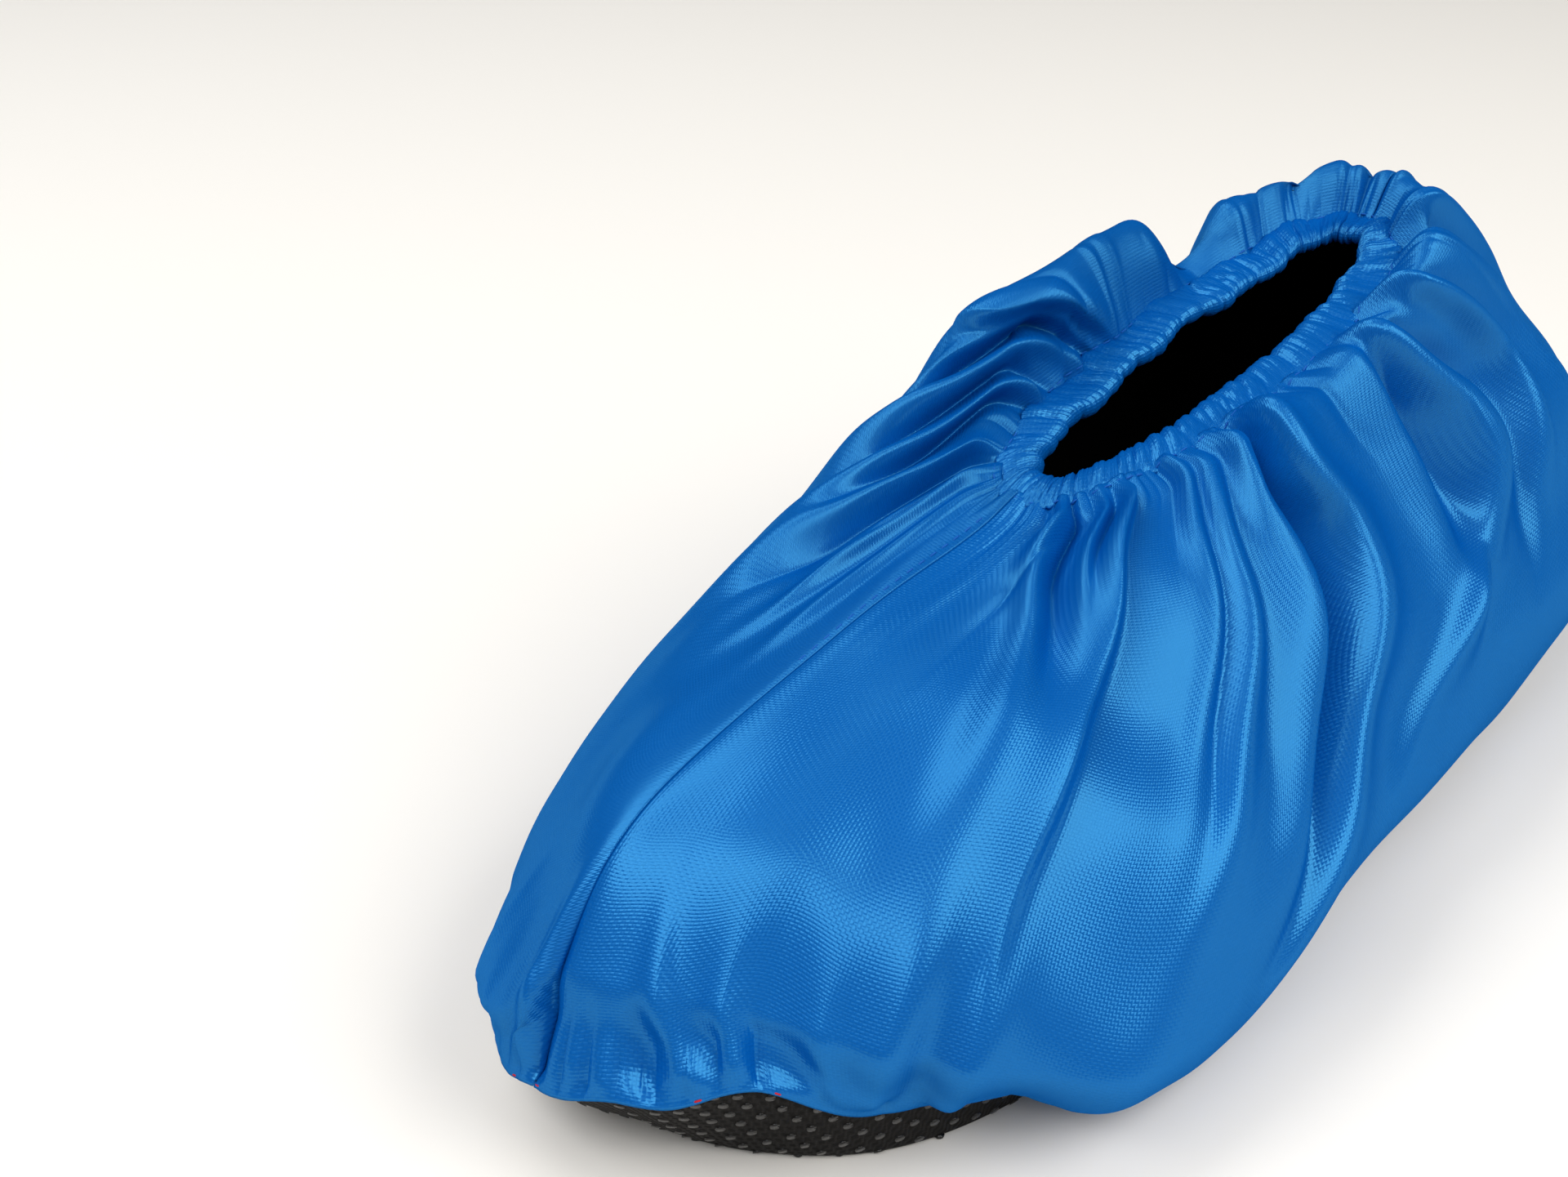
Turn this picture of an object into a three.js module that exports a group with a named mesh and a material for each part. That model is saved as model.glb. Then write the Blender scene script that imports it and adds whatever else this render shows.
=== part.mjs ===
import * as THREE from 'three';

// A reusable shoe cover for a left foot, in millimetres. The toe points to -Y, the heel to +Y, and it
// stands on z = 0. Two woven panels meet at a toe seam and a heel seam. A knitted tray closes them
// below, and a gathered casing with an elastic in it closes them round the mouth.

// Sole
const SOLE_LENGTH = 310;
const SOLE_WIDTH = 108; // across the ball of the foot
const TOE_ROUND_LENGTH = 90; // the part of the sole that rounds off to the toe seam
const HEEL_ROUND_LENGTH = 59; // the same at the heel
const TRAY_HEIGHT = 23; // the sole's turned-up edge, at the toe
const TRAY_INSET = 13; // the flat of the sole keeps this far inside the seam, at the toe
const KNIT = 2; // thickness of the sole

// Mouth and hem
const MOUTH_LENGTH = 114;
const MOUTH_WIDTH = 23;
const MOUTH_TO_HEEL = 65; // from the mouth's back end to the heel end of the sole
const RIM_HEIGHT = 102; // the mouth's edge over the floor, at the heel
const HEM_WIDTH = 6; // gathered casing, from the mouth's edge to its stitch line
const HEM_THICKNESS = 4;
const PUCKERS = 36; // round the casing
const PUCKER_DEPTH = 0.9;

// Cloth
const CLOTH = 1.5; // thickness of the panels
const BELLY = 20; // how far the cloth bellies out past the seam of the sole
const CREST_REACH = 15; // the puffs round the mouth crest this far out from its edge
const CREST_RISE = 20; // the highest puff, over the mouth's edge
const FOLD_HEIGHT = 6;
const GATHERS = 30; // round the mouth
const GATHER_DEPTH = 1.3;
const SEAM_BEND = 3; // the toe seam wanders this far to the inner side of the foot
const GAP = 0.3; // between pieces that are sewn together

// Where the shoulder and the cheek of the cloth lie on the way from the mouth to the belly, and
// where its underside turns up on the way from the seam to the belly.
const SHOULDER_SHARE = 0.46;
const CHEEK_SHARE = 0.8;
const UNDER_BELLY = 0.6;

const PANEL_COLUMNS = 64;
const PANEL_ROWS = 16;
const HEM_COLUMNS = 108;
const HEM_SIDES = 8;
const SOLE_COLUMNS = 96;

// Half widths of the sole along it from the toe, as shares of the length and of the full width.
const OUTLINE = {
  along: [0.0, 0.12, 0.26, 0.45, 0.6, 0.75, 0.85, 1.0],
  outer: [0.454, 0.491, 0.519, 0.5, 0.468, 0.449, 0.44, 0.426],
  inner: [0.426, 0.454, 0.481, 0.435, 0.407, 0.417, 0.426, 0.426],
};

// Sections round the cover: 0 at the toe seam, over the outer side of the foot to 0.5 at the heel
// seam, and back over the inner side. edge and droop are shares of TRAY_HEIGHT, inset of TRAY_INSET,
// belly of BELLY, crest of CREST_RISE, and level, cheek, shoulder and rim of RIM_HEIGHT.
const SECTION_COLUMNS = [
  'around', 'edge', 'inset', 'droop', 'belly', 'level', 'cheek', 'shoulder', 'crest', 'rim',
];
const SECTION_ROWS = [
  [0.0, 0.96, 1.0, 1.1, 0.1, 0.34, 0.55, 0.67, -0.15, 0.81],
  [0.04, 0.98, 0.92, 1.04, 0.15, 0.32, 0.55, 0.67, -0.15, 0.81],
  [0.08, 0.87, 0.46, 0.84, 0.33, 0.29, 0.54, 0.68, -0.15, 0.82],
  [0.12, 0.65, 0.31, 0.52, 0.54, 0.25, 0.5, 0.68, -0.15, 0.83],
  [0.16, 0.52, 0.31, 0.35, 0.8, 0.21, 0.46, 0.68, -0.1, 0.84],
  [0.2, 0.52, 0.38, 0.3, 0.95, 0.2, 0.44, 0.69, -0.05, 0.86],
  [0.25, 0.52, 0.46, 0.35, 0.75, 0.22, 0.46, 0.72, 0.0, 0.88],
  [0.3, 0.52, 0.46, 0.35, 0.8, 0.24, 0.5, 0.76, 0.05, 0.91],
  [0.37, 0.52, 0.46, 0.39, 0.68, 0.29, 0.56, 0.83, 0.25, 0.94],
  [0.43, 0.57, 0.54, 0.52, 0.52, 0.35, 0.65, 0.89, 0.38, 0.97],
  [0.5, 0.65, 0.62, 0.74, 0.45, 0.39, 0.72, 0.93, 0.45, 1.0],
  [0.56, 0.57, 0.54, 0.57, 0.5, 0.35, 0.68, 0.91, 0.42, 0.99],
  [0.605, 0.54, 0.5, 0.48, 0.55, 0.32, 0.62, 0.87, 0.2, 0.97],
  [0.645, 0.52, 0.46, 0.43, 0.6, 0.29, 0.59, 0.85, 0.35, 0.95],
  [0.685, 0.52, 0.46, 0.43, 0.6, 0.27, 0.57, 0.86, 0.3, 0.93],
  [0.725, 0.52, 0.46, 0.43, 0.6, 0.26, 0.57, 0.94, 0.88, 0.91],
  [0.76, 0.52, 0.46, 0.43, 0.55, 0.25, 0.56, 0.97, 1.0, 0.89],
  [0.8, 0.54, 0.52, 0.46, 0.45, 0.25, 0.54, 0.94, 0.9, 0.87],
  [0.84, 0.61, 0.62, 0.52, 0.3, 0.25, 0.54, 0.83, 0.6, 0.84],
  [0.88, 0.7, 0.77, 0.65, 0.2, 0.26, 0.54, 0.74, 0.2, 0.82],
  [0.92, 0.8, 0.85, 0.84, 0.18, 0.28, 0.55, 0.69, -0.05, 0.81],
  [0.96, 0.91, 0.95, 1.0, 0.16, 0.3, 0.55, 0.67, -0.15, 0.81],
];

// Folds of the cloth. Each runs from place rim at the hem over mid to foot, and dies out at the
// height end, which is 0 at the sole and 1 at the hem. width is its half width round the cover,
// height a share of FOLD_HEIGHT, negative for a valley, and lean makes the side towards the heel
// the steeper one, or the side towards the toe where it is negative.
const FOLD_COLUMNS = ['rim', 'mid', 'foot', 'end', 'width', 'height', 'lean'];
const FOLD_ROWS = [
  [0.06, 0.112, 0.125, 0.35, 0.014, 0.35, 0.0],
  [0.118, 0.132, 0.118, 0.15, 0.016, 0.85, 0.6],
  [0.138, 0.16, 0.15, 0.25, 0.012, -0.45, 0.0],
  [0.16, 0.196, 0.155, 0.1, 0.014, 0.9, -0.4],
  [0.182, 0.216, 0.18, 0.2, 0.012, -0.5, 0.0],
  [0.205, 0.234, 0.2, 0.35, 0.012, 0.6, 0.5],
  [0.222, 0.26, 0.19, 0.06, 0.017, 1.0, -0.5],
  [0.262, 0.292, 0.25, 0.15, 0.016, -0.6, 0.0],
  [0.305, 0.343, 0.3, 0.1, 0.018, 1.0, -0.5],
  [0.345, 0.362, 0.345, 0.35, 0.014, -0.5, 0.0],
  [0.375, 0.385, 0.36, 0.3, 0.016, 0.7, -0.3],
  [0.425, 0.43, 0.42, 0.4, 0.016, -0.3, 0.0],
  [0.465, 0.462, 0.46, 0.3, 0.016, 0.35, 0.0],
  [0.55, 0.55, 0.55, 0.3, 0.02, 0.4, 0.0],
  [0.612, 0.606, 0.6, 0.35, 0.016, -0.4, 0.0],
  [0.65, 0.645, 0.64, 0.4, 0.016, 0.25, 0.0],
  [0.69, 0.68, 0.67, 0.3, 0.016, -0.45, 0.0],
  [0.735, 0.728, 0.72, 0.15, 0.026, 0.3, 0.0],
  [0.79, 0.808, 0.79, 0.25, 0.011, -0.85, -0.4],
  [0.82, 0.838, 0.815, 0.2, 0.016, 0.85, 0.4],
  [0.845, 0.862, 0.85, 0.35, 0.01, -0.55, 0.0],
  [0.866, 0.874, 0.84, 0.1, 0.012, 0.6, 0.0],
  [0.905, 0.872, 0.868, 0.15, 0.014, -0.35, 0.0],
  [0.925, 0.905, 0.88, 0.1, 0.014, 0.5, 0.0],
  [0.945, 0.94, 0.93, 0.3, 0.012, 0.4, 0.0],
];
const FOLD_MID_HEIGHT = 0.62;
const FOLD_FOOT_HEIGHT = 0.3;

function rowsAsObjects(columns, rows) {
  return rows.map((row) => Object.fromEntries(columns.map((name, i) => [name, row[i]])));
}

const SECTIONS = rowsAsObjects(SECTION_COLUMNS, SECTION_ROWS);
const FOLDS = rowsAsObjects(FOLD_COLUMNS, FOLD_ROWS);

// One smooth stretch between two values with a slope at each end, at share t of its length h.
function hermite(t, h, from, to, slopeFrom, slopeTo) {
  const t2 = t * t;
  const t3 = t2 * t;
  const ends = (2 * t3 - 3 * t2 + 1) * from + (3 * t2 - 2 * t3) * to;
  return ends + h * ((t3 - 2 * t2 + t) * slopeFrom + (t3 - t2) * slopeTo);
}

// A smooth curve through the values at the given places.
function along(x, places, values) {
  const last = places.length - 1;
  let i = 0;
  while (i < last - 1 && x >= places[i + 1]) i += 1;
  const before = Math.max(i - 1, 0);
  const after = Math.min(i + 2, last);
  const h = places[i + 1] - places[i];
  const slopeFrom = (values[i + 1] - values[before]) / (places[i + 1] - places[before]);
  const slopeTo = (values[after] - values[i]) / (places[after] - places[i]);
  return hermite((x - places[i]) / h, h, values[i], values[i + 1], slopeFrom, slopeTo);
}

// The same for a column of SECTIONS, which closes on itself round the cover.
function section(u, column) {
  const n = SECTIONS.length;
  const turn = u - Math.floor(u);
  let i = n - 1;
  while (SECTIONS[i].around > turn) i -= 1;
  const place = (k) => SECTIONS[((k % n) + n) % n].around + Math.floor(k / n);
  const value = (k) => SECTIONS[((k % n) + n) % n][column];
  const h = place(i + 1) - place(i);
  const slopeFrom = (value(i + 1) - value(i - 1)) / (place(i + 1) - place(i - 1));
  const slopeTo = (value(i + 2) - value(i)) / (place(i + 2) - place(i));
  return hermite((turn - place(i)) / h, h, value(i), value(i + 1), slopeFrom, slopeTo);
}

// Distance round the cover from place b to place a, the short way, with its sign.
function turnFrom(a, b) {
  return a - b - Math.round(a - b);
}

function smoothStep(x) {
  const t = Math.min(Math.max(x, 0), 1);
  return t * t * (3 - 2 * t);
}

// The seam of the sole in plan, elliptical at both ends.
function solePoint(u) {
  const angle = 2 * Math.PI * u;
  const share = 0.5 - 0.5 * Math.cos(angle);
  const y = share * SOLE_LENGTH;
  const toe = Math.max(TOE_ROUND_LENGTH - y, 0) / TOE_ROUND_LENGTH;
  const heel = Math.max(y - SOLE_LENGTH + HEEL_ROUND_LENGTH, 0) / HEEL_ROUND_LENGTH;
  const round = Math.sqrt(Math.max(1 - toe * toe - heel * heel, 0));
  const outer = Math.sin(angle) >= 0;
  const half = SOLE_WIDTH * along(share, OUTLINE.along, outer ? OUTLINE.outer : OUTLINE.inner);
  return new THREE.Vector3((outer ? half : -half) * round, y - SOLE_LENGTH / 2, 0);
}

// Level direction square to the seam, away from the foot.
function soleOutward(u) {
  const step = 1e-4;
  const run = solePoint(u + step).sub(solePoint(u - step));
  return new THREE.Vector3(run.y, -run.x, 0).normalize();
}

const MOUTH_POWER = 0.8; // fuller than an ellipse

function mouthPoint(u) {
  const angle = 2 * Math.PI * u;
  const sine = Math.sin(angle);
  const back = SOLE_LENGTH / 2 - MOUTH_TO_HEEL;
  const x = (MOUTH_WIDTH / 2) * Math.sign(sine) * Math.abs(sine) ** MOUTH_POWER;
  const y = back - (MOUTH_LENGTH / 2) * (1 + Math.cos(angle));
  return new THREE.Vector3(x, y, RIM_HEIGHT * section(u, 'rim'));
}

// Level direction from the mouth's edge over the hem.
function mouthOutward(u) {
  const spread = solePoint(u).sub(mouthPoint(u)).setZ(0).normalize();
  return spread.add(soleOutward(u)).normalize();
}

// Points that the cloth passes through from the seam of the sole to the hem: the underside of the
// belly, the belly, the cheek and the shoulder above it, and the crest of the puff at the mouth.
function guidePoints(u) {
  const seam = solePoint(u).setZ(TRAY_HEIGHT * section(u, 'edge'));
  const out = soleOutward(u);
  const bellyOut = BELLY * section(u, 'belly');
  const under = seam.clone().addScaledVector(out, bellyOut * UNDER_BELLY);
  under.z = TRAY_HEIGHT * section(u, 'droop');
  const belly = seam.clone().addScaledVector(out, bellyOut);
  belly.z = RIM_HEIGHT * section(u, 'level');
  const mouth = mouthPoint(u);
  const over = mouthOutward(u);
  const cheek = mouth.clone().lerp(belly, CHEEK_SHARE);
  cheek.z = RIM_HEIGHT * section(u, 'cheek');
  const shoulder = mouth.clone().lerp(belly, SHOULDER_SHARE);
  shoulder.z = RIM_HEIGHT * section(u, 'shoulder');
  const crest = mouth.clone().addScaledVector(over, CREST_REACH);
  crest.z += CREST_RISE * section(u, 'crest');
  const hem = mouth.clone().addScaledVector(over, HEM_WIDTH);
  return [seam, under, belly, cheek, shoulder, crest, hem];
}

const KNOT_POWER = 0.75; // evens out the curve where the guide points lie close together

// The smooth sheet under the folds. u goes round the cover, v from the sole, 0, to the hem, 1.
function sheetPoint(u, v) {
  const guides = guidePoints(u);
  const knots = [0];
  guides.slice(1).forEach((p, i) => knots.push(knots[i] + p.distanceTo(guides[i]) ** KNOT_POWER));
  const total = knots[knots.length - 1];
  const places = knots.map((k) => k / total);
  const axis = (name) => along(v, places, guides.map((p) => p[name]));
  return new THREE.Vector3(axis('x'), axis('y'), axis('z'));
}

function sheetNormal(u, v) {
  const stepU = 0.003;
  const stepV = 0.01;
  const low = Math.max(v - stepV, 0);
  const high = Math.min(v + stepV, 1);
  const round = sheetPoint(u + stepU, v).sub(sheetPoint(u - stepU, v));
  const up = sheetPoint(u, high).sub(sheetPoint(u, low));
  const normal = round.cross(up);
  if (turnFrom(2 * u, 0) === 0) normal.x = 0; // the panels meet in the middle plane
  return normal.normalize();
}

// A fold's middle line is a curve through its three places.
function foldPlace(fold, v) {
  const t = (1 - v) / (1 - FOLD_MID_HEIGHT);
  const s = (1 - v) / (1 - FOLD_FOOT_HEIGHT);
  const m = (1 - FOLD_FOOT_HEIGHT) / (1 - FOLD_MID_HEIGHT);
  const bend = (fold.mid - fold.rim) * t * ((1 - s) / (1 - 1 / m));
  return fold.rim + bend + (fold.foot - fold.rim) * s * ((t - 1) / (m - 1));
}

const FOLD_START = 0.16; // share of the cloth's height over which a fold grows below the hem
const FOLD_FADE = 0.6; // share of its own height over which a fold grows from its foot

function foldHeight(fold, u, v) {
  if (v <= fold.end) return 0;
  const off = turnFrom(u, foldPlace(fold, v));
  const half = fold.width * (1 - fold.lean * Math.sign(off));
  const fade = smoothStep((v - fold.end) / (1 - fold.end) / FOLD_FADE);
  const grow = smoothStep((1 - v) / FOLD_START);
  return FOLD_HEIGHT * fold.height * Math.exp(-((off / half) ** 2)) * fade * grow;
}

const GATHER_END = 0.62; // the gathers run from the hem down to this height
const GATHER_START = 0.08; // share of the cloth's height over which they grow below the hem
const GATHER_SWAY = 0.006; // they crowd together and spread by this much of a turn
const SWAYS = 3; // round the cover

// Small gathers that radiate from the hem.
function gatherHeight(u, v) {
  const sway = GATHER_SWAY * Math.sin(2 * Math.PI * SWAYS * u);
  const wave = Math.cos(2 * Math.PI * GATHERS * (u + sway));
  const fade = smoothStep((v - GATHER_END) / (1 - GATHER_END));
  return GATHER_DEPTH * wave * fade * smoothStep((1 - v) / GATHER_START);
}

const SEAM_BEND_REACH = 0.08; // the cloth follows the seam's bend this far round the cover

function seamBend(u, v) {
  const near = Math.exp(-((turnFrom(u, 0) / SEAM_BEND_REACH) ** 2));
  return -SEAM_BEND * Math.sin(Math.PI * v) * near;
}

// A point of the folded cloth, at the given depth below its outer face.
function clothPoint(u, v, depth) {
  const heights = FOLDS.map((fold) => foldHeight(fold, u, v));
  const lift = heights.reduce((sum, h) => sum + h, gatherHeight(u, v));
  const point = sheetPoint(u, v).addScaledVector(sheetNormal(u, v), lift - depth);
  point.x += seamBend(u, v);
  return point;
}

function geometryOf(points, faces) {
  const geometry = new THREE.BufferGeometry();
  const places = points.flatMap((point) => point.toArray());
  geometry.setAttribute('position', new THREE.Float32BufferAttribute(places, 3));
  geometry.setIndex(faces.flat());
  geometry.computeVertexNormals();
  return geometry;
}

// Two triangles between columns a and b and rows j and k of a grid, named by index(column, row).
function quad(index, a, b, j, k) {
  return [
    [index(a, j), index(b, j), index(b, k)],
    [index(a, j), index(b, k), index(a, k)],
  ];
}

// One panel covers half a turn from the toe seam to the heel seam, on the side of the given sign.
function panelGeometry(side) {
  const points = [];
  for (const depth of [0, CLOTH]) {
    for (let i = 0; i <= PANEL_COLUMNS; i += 1) {
      const u = side > 0 ? (0.5 * i) / PANEL_COLUMNS : 0.5 + (0.5 * i) / PANEL_COLUMNS;
      for (let j = 0; j <= PANEL_ROWS; j += 1) {
        const point = clothPoint(u, j / PANEL_ROWS, depth);
        point.x += (side * GAP) / 2;
        points.push(point);
      }
    }
  }
  const rows = PANEL_ROWS + 1;
  const outer = (i, j) => i * rows + j;
  const inner = (i, j) => (PANEL_COLUMNS + 1) * rows + outer(i, j);
  const turned = (i, j) => inner(i, PANEL_ROWS - j);
  const faces = [];
  for (let i = 0; i < PANEL_COLUMNS; i += 1) {
    for (let j = 0; j < PANEL_ROWS; j += 1) {
      faces.push(...quad(outer, i, i + 1, j, j + 1), ...quad(turned, i, i + 1, j, j + 1));
    }
    faces.push([outer(i, 0), inner(i, 0), inner(i + 1, 0)]);
    faces.push([outer(i, 0), inner(i + 1, 0), outer(i + 1, 0)]);
    const top = PANEL_ROWS;
    faces.push([outer(i, top), outer(i + 1, top), inner(i + 1, top)]);
    faces.push([outer(i, top), inner(i + 1, top), inner(i, top)]);
  }
  for (let j = 0; j < PANEL_ROWS; j += 1) {
    const end = PANEL_COLUMNS;
    faces.push([outer(0, j), outer(0, j + 1), inner(0, j + 1)]);
    faces.push([outer(0, j), inner(0, j + 1), inner(0, j)]);
    faces.push([outer(end, j), inner(end, j), inner(end, j + 1)]);
    faces.push([outer(end, j), inner(end, j + 1), outer(end, j + 1)]);
  }
  return geometryOf(points, faces);
}

// The casing is a puckered ring of oval section round the mouth.
function hemGeometry() {
  const points = [];
  for (let i = 0; i < HEM_COLUMNS; i += 1) {
    const u = i / HEM_COLUMNS;
    const out = mouthOutward(u);
    const middle = mouthPoint(u).addScaledVector(out, (HEM_WIDTH - GAP) / 2);
    const pucker = 0.5 - 0.5 * Math.cos(2 * Math.PI * PUCKERS * u);
    const thick = HEM_THICKNESS / 2 - PUCKER_DEPTH * pucker;
    for (let j = 0; j < HEM_SIDES; j += 1) {
      const angle = (2 * Math.PI * j) / HEM_SIDES;
      const point = middle.clone().addScaledVector(out, ((HEM_WIDTH - GAP) / 2) * Math.cos(angle));
      point.z += thick * Math.sin(angle);
      points.push(point);
    }
  }
  const index = (i, j) => (i % HEM_COLUMNS) * HEM_SIDES + (j % HEM_SIDES);
  const faces = [];
  for (let i = 0; i < HEM_COLUMNS; i += 1) {
    for (let j = 0; j < HEM_SIDES; j += 1) faces.push(...quad(index, i, i + 1, j, j + 1));
  }
  return geometryOf(points, faces);
}

// The turned-up edge of the sole from the flat to its top, as shares of the inset and of the height.
const TRAY_CURVE = [
  { inward: 1.0, up: 0.0 },
  { inward: 0.4, up: 0.2 },
  { inward: 0.0, up: 1.0 },
];

// A loop of the tray's outer face, or of its inner face where wall is its thickness.
function trayPoint(u, step, wall) {
  const seam = solePoint(u);
  const inset = TRAY_INSET * section(u, 'inset');
  const top = TRAY_HEIGHT * section(u, 'edge') - GAP;
  const point = seam.addScaledVector(soleOutward(u), -inset * step.inward - wall);
  point.z = wall * (1 - step.up) + top * step.up;
  return point;
}

// The tray is closed across by strips from each column to the one at the same place on the far side.
function soleGeometry() {
  const loops = [
    ...TRAY_CURVE.map((step) => ({ step, wall: 0 })),
    ...TRAY_CURVE.toReversed().map((step) => ({ step, wall: KNIT })),
  ];
  const n = SOLE_COLUMNS;
  const points = loops.flatMap(({ step, wall }) =>
    Array.from({ length: n }, (unused, i) => trayPoint(i / n, step, wall)),
  );
  const index = (i, loop) => loop * n + (((i % n) + n) % n);
  const faces = [];
  for (let i = 0; i < n; i += 1) {
    for (let loop = 0; loop < loops.length - 1; loop += 1) {
      faces.push(...quad(index, i, i + 1, loop, loop + 1));
    }
  }
  const last = loops.length - 1;
  for (let i = 0; i < n / 2; i += 1) {
    if (i > 0) {
      faces.push([index(i, 0), index(-i, 0), index(-i - 1, 0)]);
      faces.push([index(i, last), index(-i - 1, last), index(-i, last)]);
    }
    if (i < n / 2 - 1) {
      faces.push([index(i, 0), index(-i - 1, 0), index(i + 1, 0)]);
      faces.push([index(i, last), index(i + 1, last), index(-i - 1, last)]);
    }
  }
  return geometryOf(points, faces);
}

function piece(name, geometry, material) {
  const mesh = new THREE.Mesh(geometry, material);
  mesh.name = name;
  return mesh;
}

const wovenPolyester = { color: 0x0d60c2, roughness: 0.5, metalness: 0 };
const gatheredPolyester = { color: 0x0f66c8, roughness: 0.55, metalness: 0 };
const ribbedKnit = { color: 0x181614, roughness: 0.8, metalness: 0 };

const shoeCover = new THREE.Group();
shoeCover.add(
  piece('panel_right', panelGeometry(1), new THREE.MeshStandardMaterial(wovenPolyester)),
  piece('panel_left', panelGeometry(-1), new THREE.MeshStandardMaterial(wovenPolyester)),
  piece('elastic_hem', hemGeometry(), new THREE.MeshStandardMaterial(gatheredPolyester)),
  piece('sole', soleGeometry(), new THREE.MeshStandardMaterial(ribbedKnit)),
);

export default shoeCover;
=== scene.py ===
import math

import bpy
import numpy as np
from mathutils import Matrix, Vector


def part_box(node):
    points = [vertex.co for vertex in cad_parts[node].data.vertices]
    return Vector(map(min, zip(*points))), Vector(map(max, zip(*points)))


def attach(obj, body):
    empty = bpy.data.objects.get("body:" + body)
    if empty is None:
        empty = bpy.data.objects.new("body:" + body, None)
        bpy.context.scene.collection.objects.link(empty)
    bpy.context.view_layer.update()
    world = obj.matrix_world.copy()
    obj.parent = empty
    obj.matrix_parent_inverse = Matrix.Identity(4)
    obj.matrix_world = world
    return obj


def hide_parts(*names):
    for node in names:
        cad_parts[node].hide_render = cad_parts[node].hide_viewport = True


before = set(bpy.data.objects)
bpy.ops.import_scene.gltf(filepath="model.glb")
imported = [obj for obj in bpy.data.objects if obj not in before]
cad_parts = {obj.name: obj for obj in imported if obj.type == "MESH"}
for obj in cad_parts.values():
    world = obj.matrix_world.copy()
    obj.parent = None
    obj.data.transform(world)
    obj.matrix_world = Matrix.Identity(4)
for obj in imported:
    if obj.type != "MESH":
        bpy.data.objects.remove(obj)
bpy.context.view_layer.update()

# Woven panels
# The upper is two panels of coated plain-woven polyester. They are cut flat and sewn together up the
# toe and down the heel, puckered onto the sole below, and gathered onto the elastic of the mouth.
# All places are in metres: the toe points to -Y, +X is the outer side of the left foot.

sole_low, sole_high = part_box("sole")
SOLE_LENGTH = sole_high.y - sole_low.y
SOLE_WIDTH = 0.108  # across the ball of the foot
TOE_ROUND_LENGTH = 0.090  # the part of the sole that rounds off to the toe seam
HEEL_ROUND_LENGTH = 0.059
TRAY_HEIGHT = 0.023  # the sole's turned-up edge, at the toe
TRAY_INSET = 0.013  # the flat of the sole keeps this far inside the seam, at the toe
MOUTH_LENGTH = 0.114
MOUTH_WIDTH = 0.023
MOUTH_TO_HEEL = 0.065
MOUTH_POWER = 0.8  # fuller than an ellipse
RIM_HEIGHT = 0.102
HEM_WIDTH = 0.006
BELLY = 0.020  # how far the cloth bellies out past the seam of the sole
CREST_REACH = 0.015  # the puff's top stands this far out from the mouth
CREST_RISE = 0.020  # and rises by up to this much over the hem
SHOULDER_SHARE = 0.46  # how far out the shoulder lies, from the mouth to the belly
CHEEK_SHARE = 0.8  # and the cheek below it
UNDER_BELLY = 0.6  # how far out the cloth lies where it droops over the seam, as a share of the belly
KNOT_POWER = 0.75  # of the distance between two guide points: lower bends more evenly
SEAM_BEND = 0.003  # the toe and heel seams bow to the inner side by this much
SEAM_BEND_REACH = 0.08
FOLD_HEIGHT = 0.0067

# Half widths of the sole along it from the toe, as shares of the length and of the full width.
OUTLINE_ALONG = [0.0, 0.12, 0.26, 0.45, 0.6, 0.75, 0.85, 1.0]
OUTLINE_OUTER = [0.454, 0.491, 0.519, 0.5, 0.468, 0.449, 0.44, 0.426]
OUTLINE_INNER = [0.426, 0.454, 0.481, 0.435, 0.407, 0.417, 0.426, 0.426]

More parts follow.
